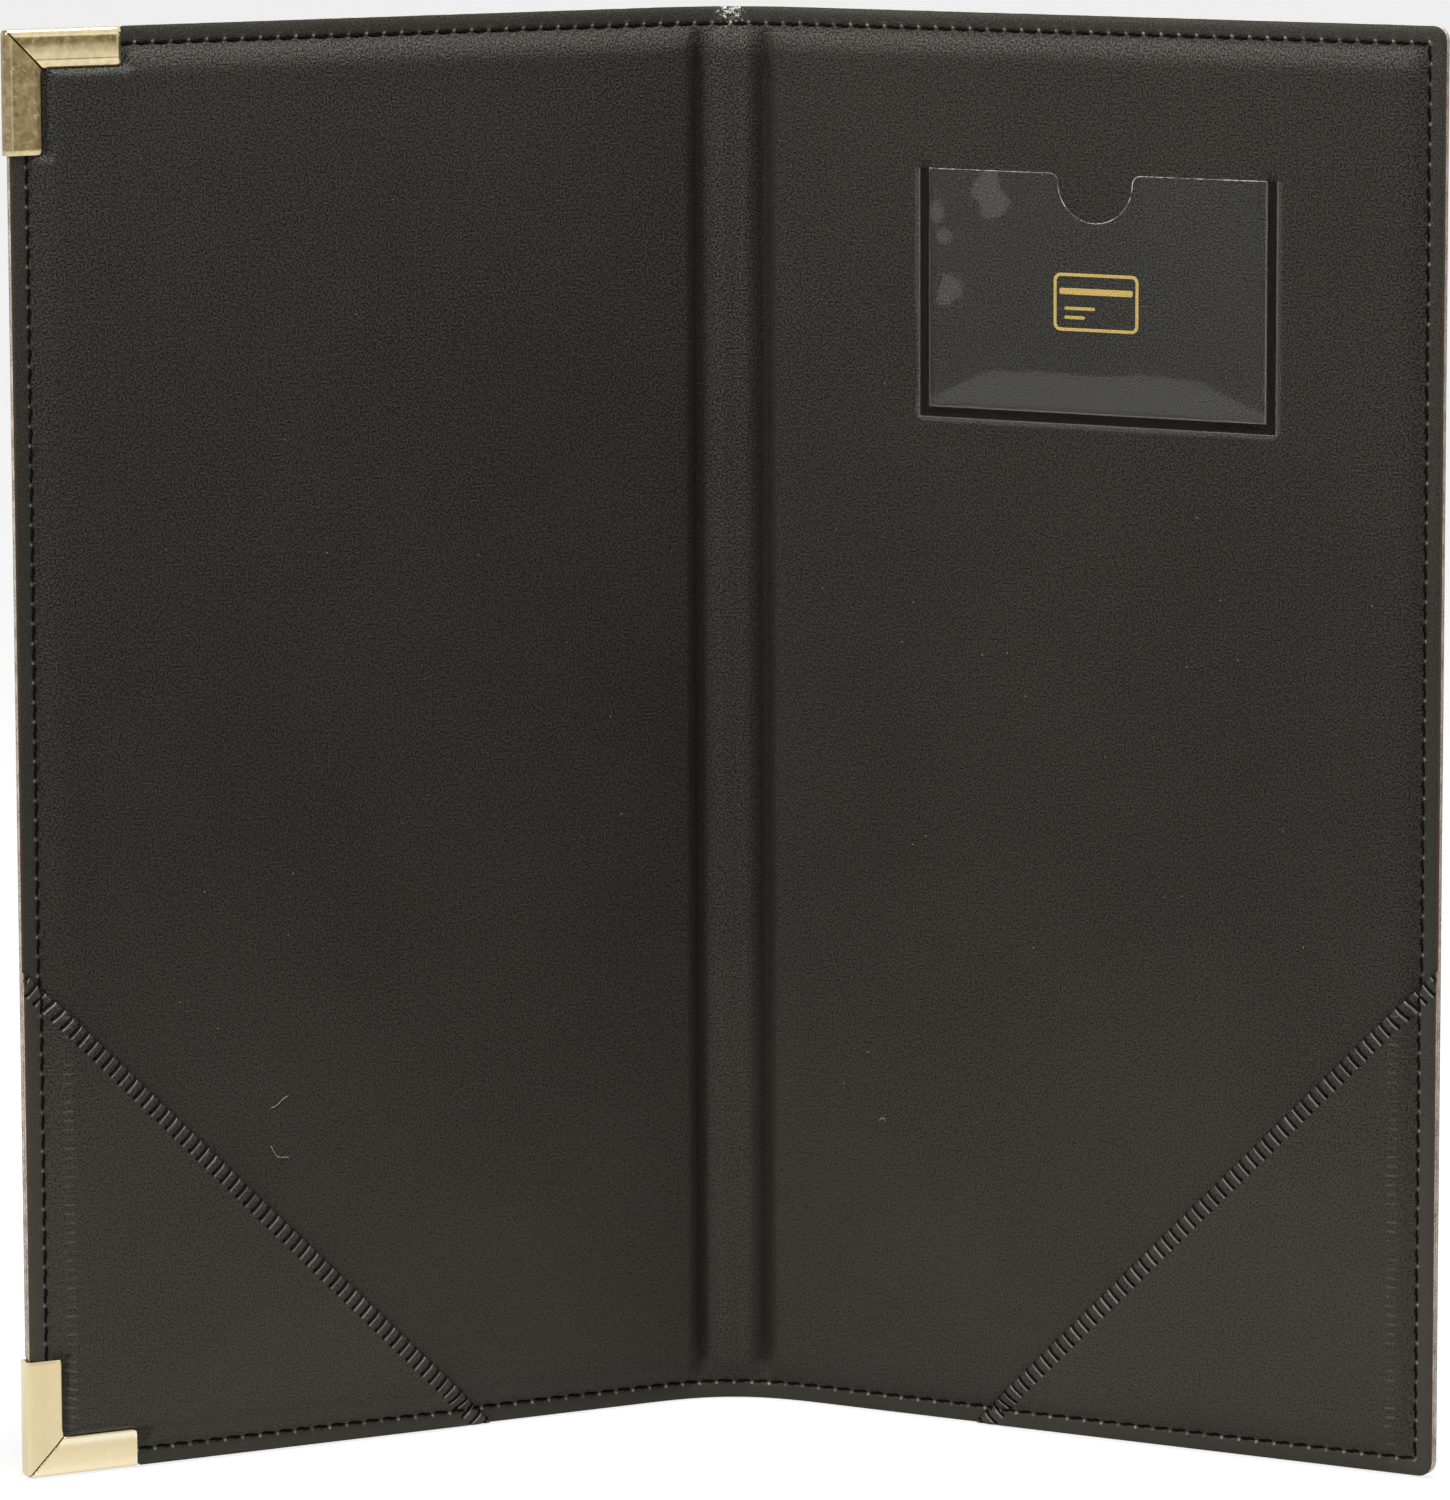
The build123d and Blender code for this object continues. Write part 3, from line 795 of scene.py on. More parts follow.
def seam_relief(s, z):
    """The seam along the bottom, the top and the fore edge."""
    across = s < SEAM_REACH + 0.5
    up = (z > SEAM_OFFSET - 0.5) & (z < HEIGHT - SEAM_OFFSET + 0.5)
    rows = np.array([
        across * stitch_relief(z - SEAM_OFFSET, s, PITCH_ACROSS),
        across * stitch_relief(HEIGHT - z - SEAM_OFFSET, s, PITCH_ACROSS),
        up * stitch_relief(SEAM_REACH - s, z - SEAM_OFFSET, PITCH_UP),
    ])
    return np.take_along_axis(rows, np.abs(rows).argmax(0)[None], 0)[0]


def metal_distance(u, z):
    """From a point on the front cover to the nearest of the two L-shaped metal corners."""
    inward, edge = WIDTH - u, from_end(z)
    legs = [(METAL_WIDTH, METAL_LEG), (METAL_LEG, METAL_WIDTH)]
    return np.min([np.hypot(np.maximum(inward - a, 0), np.maximum(edge - b, 0)) for a, b in legs], 0)


def pad_share(u, z, shoulder, metal):
    """Height of the padding as a share of its full rise."""
    share = smooth((u - PAD_NEAR) / GROOVE_SHOULDER) * rise((WIDTH - PAD_MARGIN - u) / shoulder)
    share = share * rise((from_end(z) - PAD_MARGIN) / shoulder)
    if metal:
        share = share * rise((metal_distance(u, z) - METAL_CLEARANCE) / METAL_SHOULDER)
    return share


def edge_thinning(s, z):
    """Loss of height where the cut edges are pressed thin."""
    room = np.minimum(FORE - s, from_end(z))
    return EDGE_THIN * (1 - smooth(room / EDGE_ROUND))


def weld_distance(u, z):
    """From the window's outer line inward, on its three welded sides."""
    return np.minimum(np.minimum(u - WINDOW_NEAR, WINDOW_FAR - u), z - WINDOW_LOW)


def lining_base(s, z, metal):
    """The lining without its seam and small unevenness."""
    u = s - FOLD_X
    share = pad_share(u, z, INNER_SHOULDER, metal)
    edge = from_end(z) - PAD_MARGIN
    ends = rise(edge / INNER_SHOULDER)
    ridge = RIDGE_RISE * smooth((RIDGE_FOOT - s) / RIDGE_SHOULDER) * ends
    middle = (RIDGE_FOOT + FOLD_X + PAD_NEAR) / 2
    groove = GROOVE_DIP * bell(s - middle, 1.5) * smooth(edge / 4)
    return SKIN + PAD_RISE * share + ridge - groove - edge_thinning(s, z)


def lining_height(side):
    metal = side < 0

    def height(s, z):
        u = s - FOLD_X
        inside = np.clip(np.minimum(np.minimum(u, WIDTH - u), from_end(z)) / 30, 0, 1)
        uneven = waves(s, z, LINING_WAVES, side) * (0.3 + 0.7 * inside)
        level = lining_base(s, z, metal) + seam_relief(s, z) + uneven
        level = level + CROWN * smooth(inside) * 0.5
        if side > 0:
            depth = weld_distance(u, z)
            pressed = smooth((depth - WELD_BEAD * 0.6) / 0.5)
            pressed = pressed * smooth((WELD_BEAD + WELD_CHANNEL + 0.5 - depth) / 0.5)
            below_top = z < WINDOW_TOP + 0.3
            level = level - (WELD_DEPTH + 0.1) * pressed * below_top
        return level

    return height


def outer_height(side):
    metal = side < 0

    def height(s, z):
        u = s - FOLD_X
        share = pad_share(u, z, OUTER_SHOULDER, metal)
        level = SKIN + BACK_RISE * share + SEAM_BEHIND * seam_relief(s, z)
        return level + waves(s, z, OUTER_WAVES, side) - edge_thinning(s, z)

    return height


def mouth_places(u, z):
    """(distance inward from the pocket's slanted edge, distance along it from the bottom)."""
    inward = WIDTH - u
    return (POCKET_LEG - inward - z) / sqrt(2), (POCKET_LEG - inward + z) / sqrt(2)


def ladder_relief(u, z):
    """Overedge stitches pinch the pocket's edge into a row of narrow valleys."""
    inward, along = mouth_places(u, z)
    pitch = MOUTH / LADDER_COUNT
    off = along - (np.floor(along / pitch) + 0.5) * pitch
    within = 1 - smooth((inward - LADDER_REACH + 0.1) / 0.5)
    valleys = -LADDER_VALLEY * bell(off, 0.3) * within
    bulges = 0.1 * (1 - bell(off, 0.6)) * within * smooth(inward / 1.0)
    holes = -0.3 * bell(off, 0.3) * bell(inward - LADDER_REACH, 0.3)
    edge = -0.3 * bell(inward, 0.45)
    return valleys + bulges + holes + edge


def pocket_base(s, z, metal):
    """The pocket's upper face without stitches: it lies on the lining and spans its shoulders."""
    u = s - FOLD_X
    share = pad_share(u, z, INNER_SHOULDER, metal)
    return 2 * SKIN + (PAD_RISE + POCKET_GAP) * share - 1.5 * edge_thinning(s, z)


def pocket_height(side):
    def height(s, z):
        u = s - FOLD_X
        inward = np.minimum(WIDTH - u, z)
        uneven = waves(s, z, POCKET_WAVES, side) * smooth((inward - PAD_MARGIN) / 8)
        return pocket_base(s, z, side < 0) + seam_relief(s, z) + ladder_relief(u, z) + uneven

    return height


# Dots through which the leather's triangles run ------------------------------

SEAM_OFFS = (0, -0.26, 0.26, -0.52, 0.52, -0.85, 0.85)
MARGIN_ROWS = (               # distance from the edge, and the pitch of the dots there
    (0.2, 1.1), (0.4, 1.1), (0.62, 1.1), (1.5, 1.1), (4.4, 0.9), (4.9, 0.9), (5.5, 1.1), (6.1, 1.1),
    (6.8, 1.4), (7.5, 1.7), (8.2, 1.7), (9.0, 2.2), (10.0, 2.4),
)
SEAM_SAMPLES = 7              # dots on each stitch
RIDGE_COLUMNS = (             # s of the close columns over the spine's ridge and the groove
    0, 0.8, 1.6, 2.3, 2.9, 3.5, 4.1, 4.7, 5.2, 5.6, 6.0, 6.4, 6.8, 7.2, 7.6, 8.0, 8.4, 8.8, 9.3,
    9.8, 10.4, 11.1, 12.0, 13.2, 14.8, 17.0,
)
WELD_ROWS = (-0.5, 0, 0.3, 0.6, 0.9, 1.3, 1.9, 2.3, 2.6, 2.9, 3.3, 4.0)
FILM_ROWS = (0.2, 0.35, 0.48, 0.6, 0.75, 0.9, 1.05, 1.3, 1.7, 2.1, 2.5, 2.7, 2.9, 3.1, 3.3, 3.8)
LADDER_ROWS = (0.25, 0.55, 0.95, 1.5, 2.1, 2.55, 2.85, 3.1, 3.4, 3.8)


def seam_dots():
    """Close rows beside the seam, and looser ones over the margin and the padding's shoulder."""
    dots = []
    close_across = np.arange(STITCHES_ACROSS * SEAM_SAMPLES + 1) * PITCH_ACROSS / SEAM_SAMPLES
    close_up = SEAM_OFFSET + np.arange(STITCHES_UP * SEAM_SAMPLES + 1) * PITCH_UP / SEAM_SAMPLES
    rows = [(SEAM_OFFSET + off, close_across, close_up) for off in SEAM_OFFS]
    for distance, pitch in MARGIN_ROWS:
        across = steps(0, FORE - distance, pitch)
        rows.append((distance, across, steps(distance, HEIGHT - distance, pitch)))
    for distance, across, up in rows:
        across = across[across <= FORE - distance + 1e-6]
        up = up[(up >= distance - 1e-6) & (up <= HEIGHT - distance + 1e-6)]
        dots += [(s, z) for s in across for z in (distance, HEIGHT - distance)]
        dots += [(FORE - distance, z) for z in up]
    return dots


def half_dots(side):
    """All dots of one half's leather."""
    dots = seam_dots()
    dots += [(s, z) for s in RIDGE_COLUMNS for z in steps(5.2, HEIGHT - 5.2, 2.4)]
    if side < 0:
        dots += [(FORE - a, z) for a, b in metal_square(0.85) for z in (b, HEIGHT - b)]
    else:
        dots += [(FOLD_X + u, z) for u, z in window_dots(WELD_ROWS, WINDOW_TOP + 1)]
    dots += [(s, z) for s in steps(20, FORE - 11, 3.4) for z in steps(11, HEIGHT - 11, 3.4)]
    inner = [(s, z) for s, z in dots if 0.2 < s < FORE - 0.15 and 0.15 < z < HEIGHT - 0.15]
    return spread(inner, 0.2)


def window_dots(depths, top):
    """Dots (u, z) along the window's three welded sides, at each depth inside its outline."""
    dots = []
    for depth in depths:
        near, far, low = WINDOW_NEAR + depth, WINDOW_FAR - depth, WINDOW_LOW + depth
        dots += [(u, low) for u in steps(near, far, 1.0)]
        dots += [(u, z) for u in (near, far) for z in steps(low, top, 1.0)]
    return dots


def half_outline():
    across, up = steps(0, FORE, PITCH_ACROSS / 4), steps(0, HEIGHT, PITCH_UP / 4)
    line = [(s, 0.0) for s in across[:-1]]
    line += [(FORE, z) for z in up[:-1]]
    line += [(s, HEIGHT) for s in across[:0:-1]]
    line += [(0.0, z) for z in steps(0, HEIGHT, 2.4)[:0:-1]]
    return line


def plain_half_dots(side):
    columns = [1.5, 3, 4.4, 5.4, 6.4, 7.4, 8.4, 9.6, 11.2, 13.4, 17]
    columns += [*steps(21, FORE - 9, 6), FORE - 6.4, FORE - 4.4, FORE - 2.2]
    rows = [2.2, 4.4, 6.4, *steps(9, HEIGHT - 9, 6), HEIGHT - 6.4, HEIGHT - 4.4, HEIGHT - 2.2]
    dots = [(FORE - a, z) for a, b in metal_square(1.1) for z in (b, HEIGHT - b)] if side < 0 else []
    return spread(dots + [(s, z) for s in columns for z in rows], 0.8)


def metal_square(pitch):
    """Dots (inward, up) over and around a metal corner."""
    square = steps(0.9, METAL_LEG + 4, pitch)
    return [(a, b) for a in square for b in square]


def pocket_outline():
    """The corner and then the slanted edge, from its top to its bottom."""
    line = [(s, 0.0) for s in steps(FORE - POCKET_LEG, FORE, 0.8)[:-1]]
    line += [(FORE, z) for z in steps(0, POCKET_LEG, 0.8)[:-1]]
    slant = np.linspace(0, POCKET_LEG, LADDER_COUNT * 10 + 1)[:-1]
    return line + [(FORE - d, POCKET_LEG - d) for d in slant]


def in_pocket(s, z, room):
    inward, _ = mouth_places(s - FOLD_X, z)
    return inward > room and z > 0.2 and s < FORE - 0.2


def pocket_dots(side):
    dots = []
    for depth in LADDER_ROWS:
        along = np.arange(LADDER_COUNT * 10) * MOUTH / (LADDER_COUNT * 10)
        corner = np.array([FORE - POCKET_LEG, 0.0]) + depth * np.array([1, -1]) / sqrt(2)
        dots += [tuple(corner + a * np.array([1, 1]) / sqrt(2)) for a in along]
    dots += [(s, z) for s, z in seam_dots() if z < POCKET_LEG and s > FORE - POCKET_LEG]
    if side < 0:
        dots += [(FORE - a, b) for a, b in metal_square(0.85)]
    dots += [(s, z) for s in steps(FORE - POCKET_LEG, FORE, 1.6) for z in steps(0, POCKET_LEG, 1.6)]
    return spread([p for p in dots if in_pocket(*p, 0.2)], 0.19)


def plain_pocket_dots(side):
    grid = [(FORE - a, b) for a, b in metal_square(1.1)] if side < 0 else []
    grid += [(s, z) for s in steps(FORE - POCKET_LEG, FORE - 2, 4) for z in steps(2, POCKET_LEG, 4)]
    return spread([p for p in grid if in_pocket(*p, 0.8)], 0.8)


def round_plan(a, b, corner_a, corner_b, radius):
    """Rounds the convex corner at (corner_a, corner_b) of a flat form."""
    way_a, way_b = (1 if corner_a > radius else -1), (1 if corner_b > radius else -1)
    da, db = way_a * (a - (corner_a - way_a * radius)), way_b * (b - (corner_b - way_b * radius))
    inside = (da > 0) & (db > 0)
    scale = np.where(inside, np.maximum(da, db) / np.maximum(np.hypot(da, db), 1e-9), 1)
    new_a = np.where(inside, corner_a - way_a * radius + way_a * da * scale, a)
    new_b = np.where(inside, corner_b - way_b * radius + way_b * db * scale, b)
    return new_a, new_b


def round_corners(s, z):
    """Rounds the two corners at the fore edge."""
    for end in (0.0, HEIGHT):
        s, z = round_plan(s, z, FORE, end, CORNER_RADIUS)
    return s, z


def tuck_corners(s, z):
    """Rounds the corners and draws the leather back inside the metal."""
    s, z = round_corners(s, z)
    inward, edge = FORE - s, from_end(z)
    reach = METAL_LEG - 0.9
    zone = (inward < reach) & (edge < reach)
    s = np.where(zone, np.minimum(s, FORE - METAL_TUCK), s)
    return s, np.where(zone, np.clip(z, METAL_TUCK, HEIGHT - METAL_TUCK), z)


# Pieces of leather -----------------------------------------------------------

black = leatherette("leatherette")
# the pocket's leather is painted 12 % brighter, as painted light from the floor below
black_pocket = leatherette("leatherette_pocket", 1.12, True)
backing = backing_fabric()
seam_thread = thread_material("seam_thread", (0.001, 0.001, 0.0008), (0.005, 0.005, 0.0045))


def bend_with_cover(piece, cover):
    """Bakes the piece's placement into its points. The piece is not bent: start and end are worked out
    but not used.
    """
    side = COVERS[cover]
    start = stand(side, FOLD_X - BEND_REACH, HEIGHT / 2, 0)
    end = stand(side, FOLD_X + BEND_REACH, HEIGHT / 2, 0)
    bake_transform(piece)


def make_half(cover):
    side = COVERS[cover]
    move = tuck_corners if side < 0 else round_corners
    outline, dots, plain = half_outline(), half_dots(side), plain_half_dots(side)

    def lining_back(s, z):
        return np.maximum(lining_base(s, z, side < 0) - SKIN, 0)

    form = shell(outline, dots, plain, lining_height(side), lining_back)
    lining = place(cover + "_lining_leather", side, form, [black, backing], move)
    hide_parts(cover + "_lining", cover + "_inner_hinge_web", "spine_lining")

    def outer_back(s, z):
        return BACK_RISE * pad_share(s - FOLD_X, z, OUTER_SHOULDER, side < 0)

    form = shell(outline, dots, plain, outer_height(side), outer_back, sign=-1)
    outer = place(cover + "_outer_leather", side, form, [black, backing], move)
    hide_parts(cover + "_outer_skin", cover + "_outer_hinge_web", "spine_outer_skin")
    for piece in (lining, outer):
        bend_with_cover(piece, cover)


def make_pocket(cover):
    side = COVERS[cover]
    move = tuck_corners if side < 0 else round_corners

    def back(s, z):
        return pocket_base(s, z, side < 0) - SKIN + 0.03

    dots, plain = pocket_dots(side), plain_pocket_dots(side)
    form = shell(pocket_outline(), dots, plain, pocket_height(side), back)
    pocket = place(cover + "_pocket_leather", side, form, [black_pocket, backing], move)
    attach(pocket, cover + "_cover")
    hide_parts(cover + "_corner_pocket")


def make_foam(cover):
    """The foam sheet between the board and the lining."""
    side = COVERS[cover]
    low, high = PAD_MARGIN + FOAM_INSET, HEIGHT - PAD_MARGIN - FOAM_INSET
    near, far = FOLD_X + PAD_NEAR + FOAM_INSET, FORE - PAD_MARGIN - FOAM_INSET
    cut = METAL_LEG + 3 if side < 0 else 0
    corners = [
        (near, low), (far - cut, low), (far - cut, low + cut), (far, low + cut),
        (far, high - cut), (far - cut, high - cut), (far - cut, high), (near, high),
    ]
    if not cut:
        corners = [corners[i] for i in (0, 1, 4, 7)]
    outline = []
    for (s0, z0), (s1, z1) in zip(corners, corners[1:] + corners[:1]):
        count = int(max(abs(s1 - s0), abs(z1 - z0)) / 2)
        outline += [(s0 + (s1 - s0) * i / count, z0 + (z1 - z0) * i / count) for i in range(count)]
    dots = [(s, z) for s in steps(near, far, 1.6)[1:-1] for z in steps(low, high, 3)[1:-1]]
    dots = [(s, z) for s, z in dots if s < far - cut - 0.5 or low + cut + 0.5 < z < high - cut - 0.5]
    bottom = BACK_RISE + FOAM_CLEAR

    def top(s, z):
        return np.maximum(lining_base(s, z, side < 0) - SKIN - FOAM_CLEAR, bottom + FOAM_LEAST)

    form = shell(outline, dots, dots[::7], top, lambda s, z: bottom + 0 * s, coat=0.02)
    foam = place(cover + "_foam_sheet", side, form, [foam_look, foam_look])
    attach(foam, cover + "_cover")
    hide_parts(cover + "_foam_pad")


# Thread ----------------------------------------------------------------------

STITCH_ENDS = np.array([0.03, 0.07, 0.13, 0.22, 0.36, 0.5, 0.64, 0.78, 0.87, 0.93, 0.97])
STITCH_SINK = np.array([0.55, 0.3, 0.12, 0.03, 0, 0, 0, 0.03, 0.12, 0.3, 0.55])


def stitch_lines(s, z, ds, dz, slant):
    """Flat lines of stitches from their starts, each one pitch (ds, dz) long."""
    t = STITCH_ENDS
    length = sqrt(ds ** 2 + dz ** 2)
    off = slant * (t - 0.5)
    return s[:, None] + ds * t - dz / length * off, z[:, None] + dz * t + ds / length * off


def seam_lines():
    across = np.arange(STITCHES_ACROSS) * PITCH_ACROSS
    up = SEAM_OFFSET + np.arange(STITCHES_UP) * PITCH_UP
    full = np.full(STITCHES_ACROSS, SEAM_OFFSET)
    fore = np.full(STITCHES_UP, SEAM_REACH)
    rows = [
        stitch_lines(across, full, PITCH_ACROSS, 0, 0.14),
        stitch_lines(across, HEIGHT - full, PITCH_ACROSS, 0, 0.14),
        stitch_lines(fore, up, 0, PITCH_UP, 0.14),
    ]
    return [np.concatenate(part) for part in zip(*rows)]


def make_seam_thread(cover):
    side = COVERS[cover]
    s, z = seam_lines()
    inward, _ = mouth_places(s - FOLD_X, z)
    base = SKIN * (1 + smooth((inward + 0.6) / 2.2))
    jitter = 0.03 * ripple(s, z, 2.0, 71)
    n_inner = base - VALLEY + THREAD_RADIUS * 0.35 - STITCH_SINK + jitter
    n_outer = -(SKIN - SEAM_BEHIND * VALLEY + THREAD_RADIUS * 0.6 - STITCH_SINK) + jitter
    if side < 0:
        s, z = tuck_corners(s, z)
    up = np.array([0, -1.0, 0])
    radius = THREAD_RADIUS * MM * np.array([0.7, 0.85, 0.95, 1, 1, 1, 1, 1, 0.95, 0.85, 0.7])
    paths = np.concatenate([stand(side, s, z, n_inner), stand(side, s, z, n_outer)])
    piece = add_tubes(cover + "_seam_thread", paths, up, radius, seam_thread)
    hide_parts(cover + "_seam_stitches", "spine_seam_stitches")
    bend_with_cover(piece, cover)


LADDER_PATH = np.array([  # distance inward from the pocket's edge, and depth under its face
    (2.75, 0.7), (2.73, 0.4), (2.6, 0.17), (2.35, 0.06), (1.9, 0.02), (1.2, 0.02), (0.55, 0.08),
    (0.12, 0.24), (-0.14, 0.5), (-0.2, 0.8), (-0.02, 1.02), (0.4, 1.06),
])


def make_ladder_thread(cover):
    """Overedge stitches: up from a needle hole, over the pocket's raw edge and back beneath it."""
    side = COVERS[cover]
    inward, depth = LADDER_PATH.T
    along = (np.arange(LADDER_COUNT) + 0.5)[:, None] * MOUTH / LADDER_COUNT
    lean = 0.1 * ripple(along * 3.1, along * 0, 1.0, 83) + 0.12 * (inward / LADDER_REACH - 0.5)
    along = along + lean
    s = FORE - POCKET_LEG + (along + inward) / sqrt(2)
    z = (along - inward) / sqrt(2)
    s, z = np.minimum(s, FORE - 0.3), np.maximum(z, 0.3)
    base = pocket_base(s, z, side < 0)
    n = base - LADDER_VALLEY + LADDER_RADIUS + 0.02 - depth
    paths = stand(side, s, z, n)
    taper = np.array([0.8] + [1.0] * (len(inward) - 2) + [0.8])
    up, radius = np.array([side * -0.3, -1.0, 0.4]), LADDER_RADIUS * MM * taper
    piece = add_tubes(cover + "_overedge_thread", paths, up, radius, ladder_thread)
    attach(piece, cover + "_cover")
    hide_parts(cover + "_pocket_stitches")


# Brass corners ---------------------------------------------------------------

NEAR_MITRE = ((0.0, 0.46), (0.12, 0.38), (0.24, 0.06), (0.4, 0.0), (0.7, 0.0), (1.1, 0.0))
FAR_STATIONS = (0.42, 0.62, 0.8, 0.93, 0.955, 0.97, 0.985, 1.0)   # as shares of the leg
METAL_END = 0.7               # width of the lip at a leg's end
METAL_ROUND = 0.95


def metal_face(level, out, scored):
    """One face's section from its lip to the fold: (distance inward, n, part of the lip's drop)."""
    score = 0.3 if scored else 0.0
    flat = [(METAL_WIDTH, 1.0), (METAL_WIDTH - 0.12, 0.78), (METAL_WIDTH - 0.5, 0.45)]
    flat += [(METAL_WIDTH - METAL_LIP + 0.15, 0.1), (METAL_WIDTH - METAL_LIP, 0.0)]
    flat += [(a, 0.0) for a in (5.2, 4.2, 3.0, 1.9, 1.45)] + [(1.3, score), (1.12, 0.4 * score)]
    section = [(a, level, drop) for a, drop in flat]
    for t in np.linspace(0, pi / 2, 7):
        fall = METAL_ROUND * (1 - cos(t))
        section.append((METAL_ROUND * (1 - sin(t)), level - out * fall, 0.0))
    return section


def metal_section(inner_level, scored):
    """The folded sheet's closed section, and which way each point's face looks."""
    front, back = inner_level + METAL_SHEET, -SKIN - METAL_SHEET
    section = [(METAL_WIDTH, inner_level, 0.0, 0)]
    section += [(a, n, drop, 1) for a, n, drop in metal_face(front, 1, scored)]
    section += [(a, n, drop, -1) for a, n, drop in reversed(metal_face(back, -1, scored))]
    inside = ((METAL_WIDTH, -SKIN), (METAL_SHEET, -SKIN), (METAL_SHEET, inner_level))
    return section + [(a, n, 0.0, 0) for a, n in inside]


def metal_leg(section, length, lip):
    """Points (inward, along, n) of one leg, station by station from the mitre to its end."""
    rows = []
    for step, dip in NEAR_MITRE:
        rows.append([
            (a, a + step, n - out * METAL_LIP_DROP * drop - (dip if out > 0 and a > 0.5 else 0))
            for a, n, drop, out in section
        ])
    for station in [length * share for share in FAR_STATIONS]:
        end = float(smooth((station - (length - METAL_END)) / METAL_END)) * lip
        rows.append([
            (a, station, n - out * METAL_LIP_DROP * max(drop, end if a > 0.05 else 0))
            for a, n, drop, out in section
        ])
    return np.array(rows)


def make_metal(node, top, inner_level, length, material):
    """One corner. The top one is scored beside its fold and has the deeper lip at its ends."""
    section = metal_section(inner_level, top)
    leg = metal_leg(section, length, 0.9 if top else 0.25)
    a, b, n = leg[..., 0], leg[..., 1], leg[..., 2]
    a, b = round_plan(a, b, 0.0, 0.0, 1.0)
    a, b = round_plan(a, b, METAL_WIDTH, length, 0.8)
    stations, count = a.shape
    upright = np.stack([FORE + METAL_PROUD - a, b, n], -1)
    level = np.stack([FORE + METAL_PROUD - b, a, n], -1)[1:]
    points = np.concatenate([upright.reshape(-1, 3), level.reshape(-1, 3)])
    grid = np.arange((2 * stations - 1) * count).reshape(-1, count)
    grid, other = grid[:stations], np.vstack([grid[:1], grid[stations:]])
    faces = []
    for rows, flip in ((grid, False), (other, True)):
        for j in range(stations - 1):
            for i in range(count):
                k = (i + 1) % count
                quad = [rows[j, i], rows[j, k], rows[j + 1, k], rows[j + 1, i]]
                faces.append(quad[::-1] if flip else quad)
        cap = list(rows[-1])
        faces.append(cap if flip else cap[::-1])
    if top:
        points[:, 1] = HEIGHT - points[:, 1]
        faces = [f[::-1] for f in faces]
    s, z, n = points.T
    faces = [[int(v) for v in f] for f in faces]
    uv = np.column_stack([s, z]) * MM
    piece = add_piece(node + "_cap", stand(-1, s, z, n), faces, [material], uv=uv, sharp=50)
    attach(piece, "front_cover")
    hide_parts(node)


# Card window -----------------------------------------------------------------

def arc(centre, radii, start, end, count):
    """Points on an ellipse's arc, from one angle to another, in degrees."""
    angles = np.radians(np.linspace(start, end, count))
    return [(centre[0] + radii[0] * cos(t), centre[1] + radii[1] * sin(t)) for t in angles]


def film_outline():
    near, far, low, top, r = WINDOW_NEAR, WINDOW_FAR, WINDOW_LOW, WINDOW_TOP, WINDOW_RADIUS
    half = NOTCH[0] + NOTCH_LIP
    line = arc((near + r, low + r), (r, r), 180, 270, 7)
    line += [(u, low) for u in steps(near + r, far - r, 1.0)[1:-1]]
    line += arc((far - r, low + r), (r, r), 270, 360, 7)
    line += [(far, z) for z in steps(low + r, top, 1.0)[1:-1]]
    line += [(u, top) for u in steps(WINDOW_MIDDLE + half, far, 1.0)[::-1]][:-1]
    line += arc((WINDOW_MIDDLE + half, top - NOTCH_LIP), (NOTCH_LIP, NOTCH_LIP), 90, 180, 7)
    line += arc((WINDOW_MIDDLE, top - NOTCH_LIP), NOTCH, 0, -180, 25)[1:-1]
    line += arc((WINDOW_MIDDLE - half, top - NOTCH_LIP), (NOTCH_LIP, NOTCH_LIP), 0, 90, 7)
    line += [(u, top) for u in steps(near, WINDOW_MIDDLE - half, 1.0)[::-1]][1:]
    line += [(near, z) for z in steps(low + r, top, 1.0)[::-1]][1:-1]
    return [(FOLD_X + u, z) for u, z in line]


def film_height(s, z):
    """Over the lining: a rim, the pressed weld, then the free film with its slight belly."""
    u = s - FOLD_X
    depth = weld_distance(u, z)
    rim = 0.06 * (bell(depth - 0.2, 0.15) + bell(depth - 0.75, 0.15))
    free = smooth((depth - WELD_BEAD - WELD_CHANNEL) / WELD_RAMP)
    belly = smooth((depth - 3) / 12)
    pressed = -FILM_PRESSED * smooth((depth - WELD_BEAD) / 0.4) * (1 - free)
    lift = free * (FILM_LIFT + FILM_PRESSED + belly * (0.2 + waves(s, z, FILM_WAVES)))
    return SKIN + PAD_RISE + 0.12 + rim + pressed + lift


def inside_film(u, z, room=0.25):
    near = weld_distance(u, z) > room and z < WINDOW_TOP - room
    across = (u - WINDOW_MIDDLE) / (NOTCH[0] + NOTCH_LIP + room)
    up = (z - WINDOW_TOP) / (NOTCH[1] + NOTCH_LIP + room)
    return near and across ** 2 + up ** 2 > 1


def make_film():
    dots = window_dots(FILM_ROWS, WINDOW_TOP)
    across, up = steps(WINDOW_NEAR + 4, WINDOW_FAR - 4, 1.3), steps(WINDOW_LOW + 4, WINDOW_TOP, 1.3)
    dots += [(u, z) for u in across for z in up]
    dots = [(FOLD_X + u, z) for u, z in spread([p for p in dots if inside_film(*p)], 0.2)]

    def film_back(s, z):
        return film_height(s, z) - FILM

    form = shell(film_outline(), dots, dots, film_height, film_back, coat=FILM / 2)
    make_film_edge()
    film = place("card_window_film", 1, form, [film_look, film_look], sharp=60)
    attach(film, "back_cover")
    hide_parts("card_window")


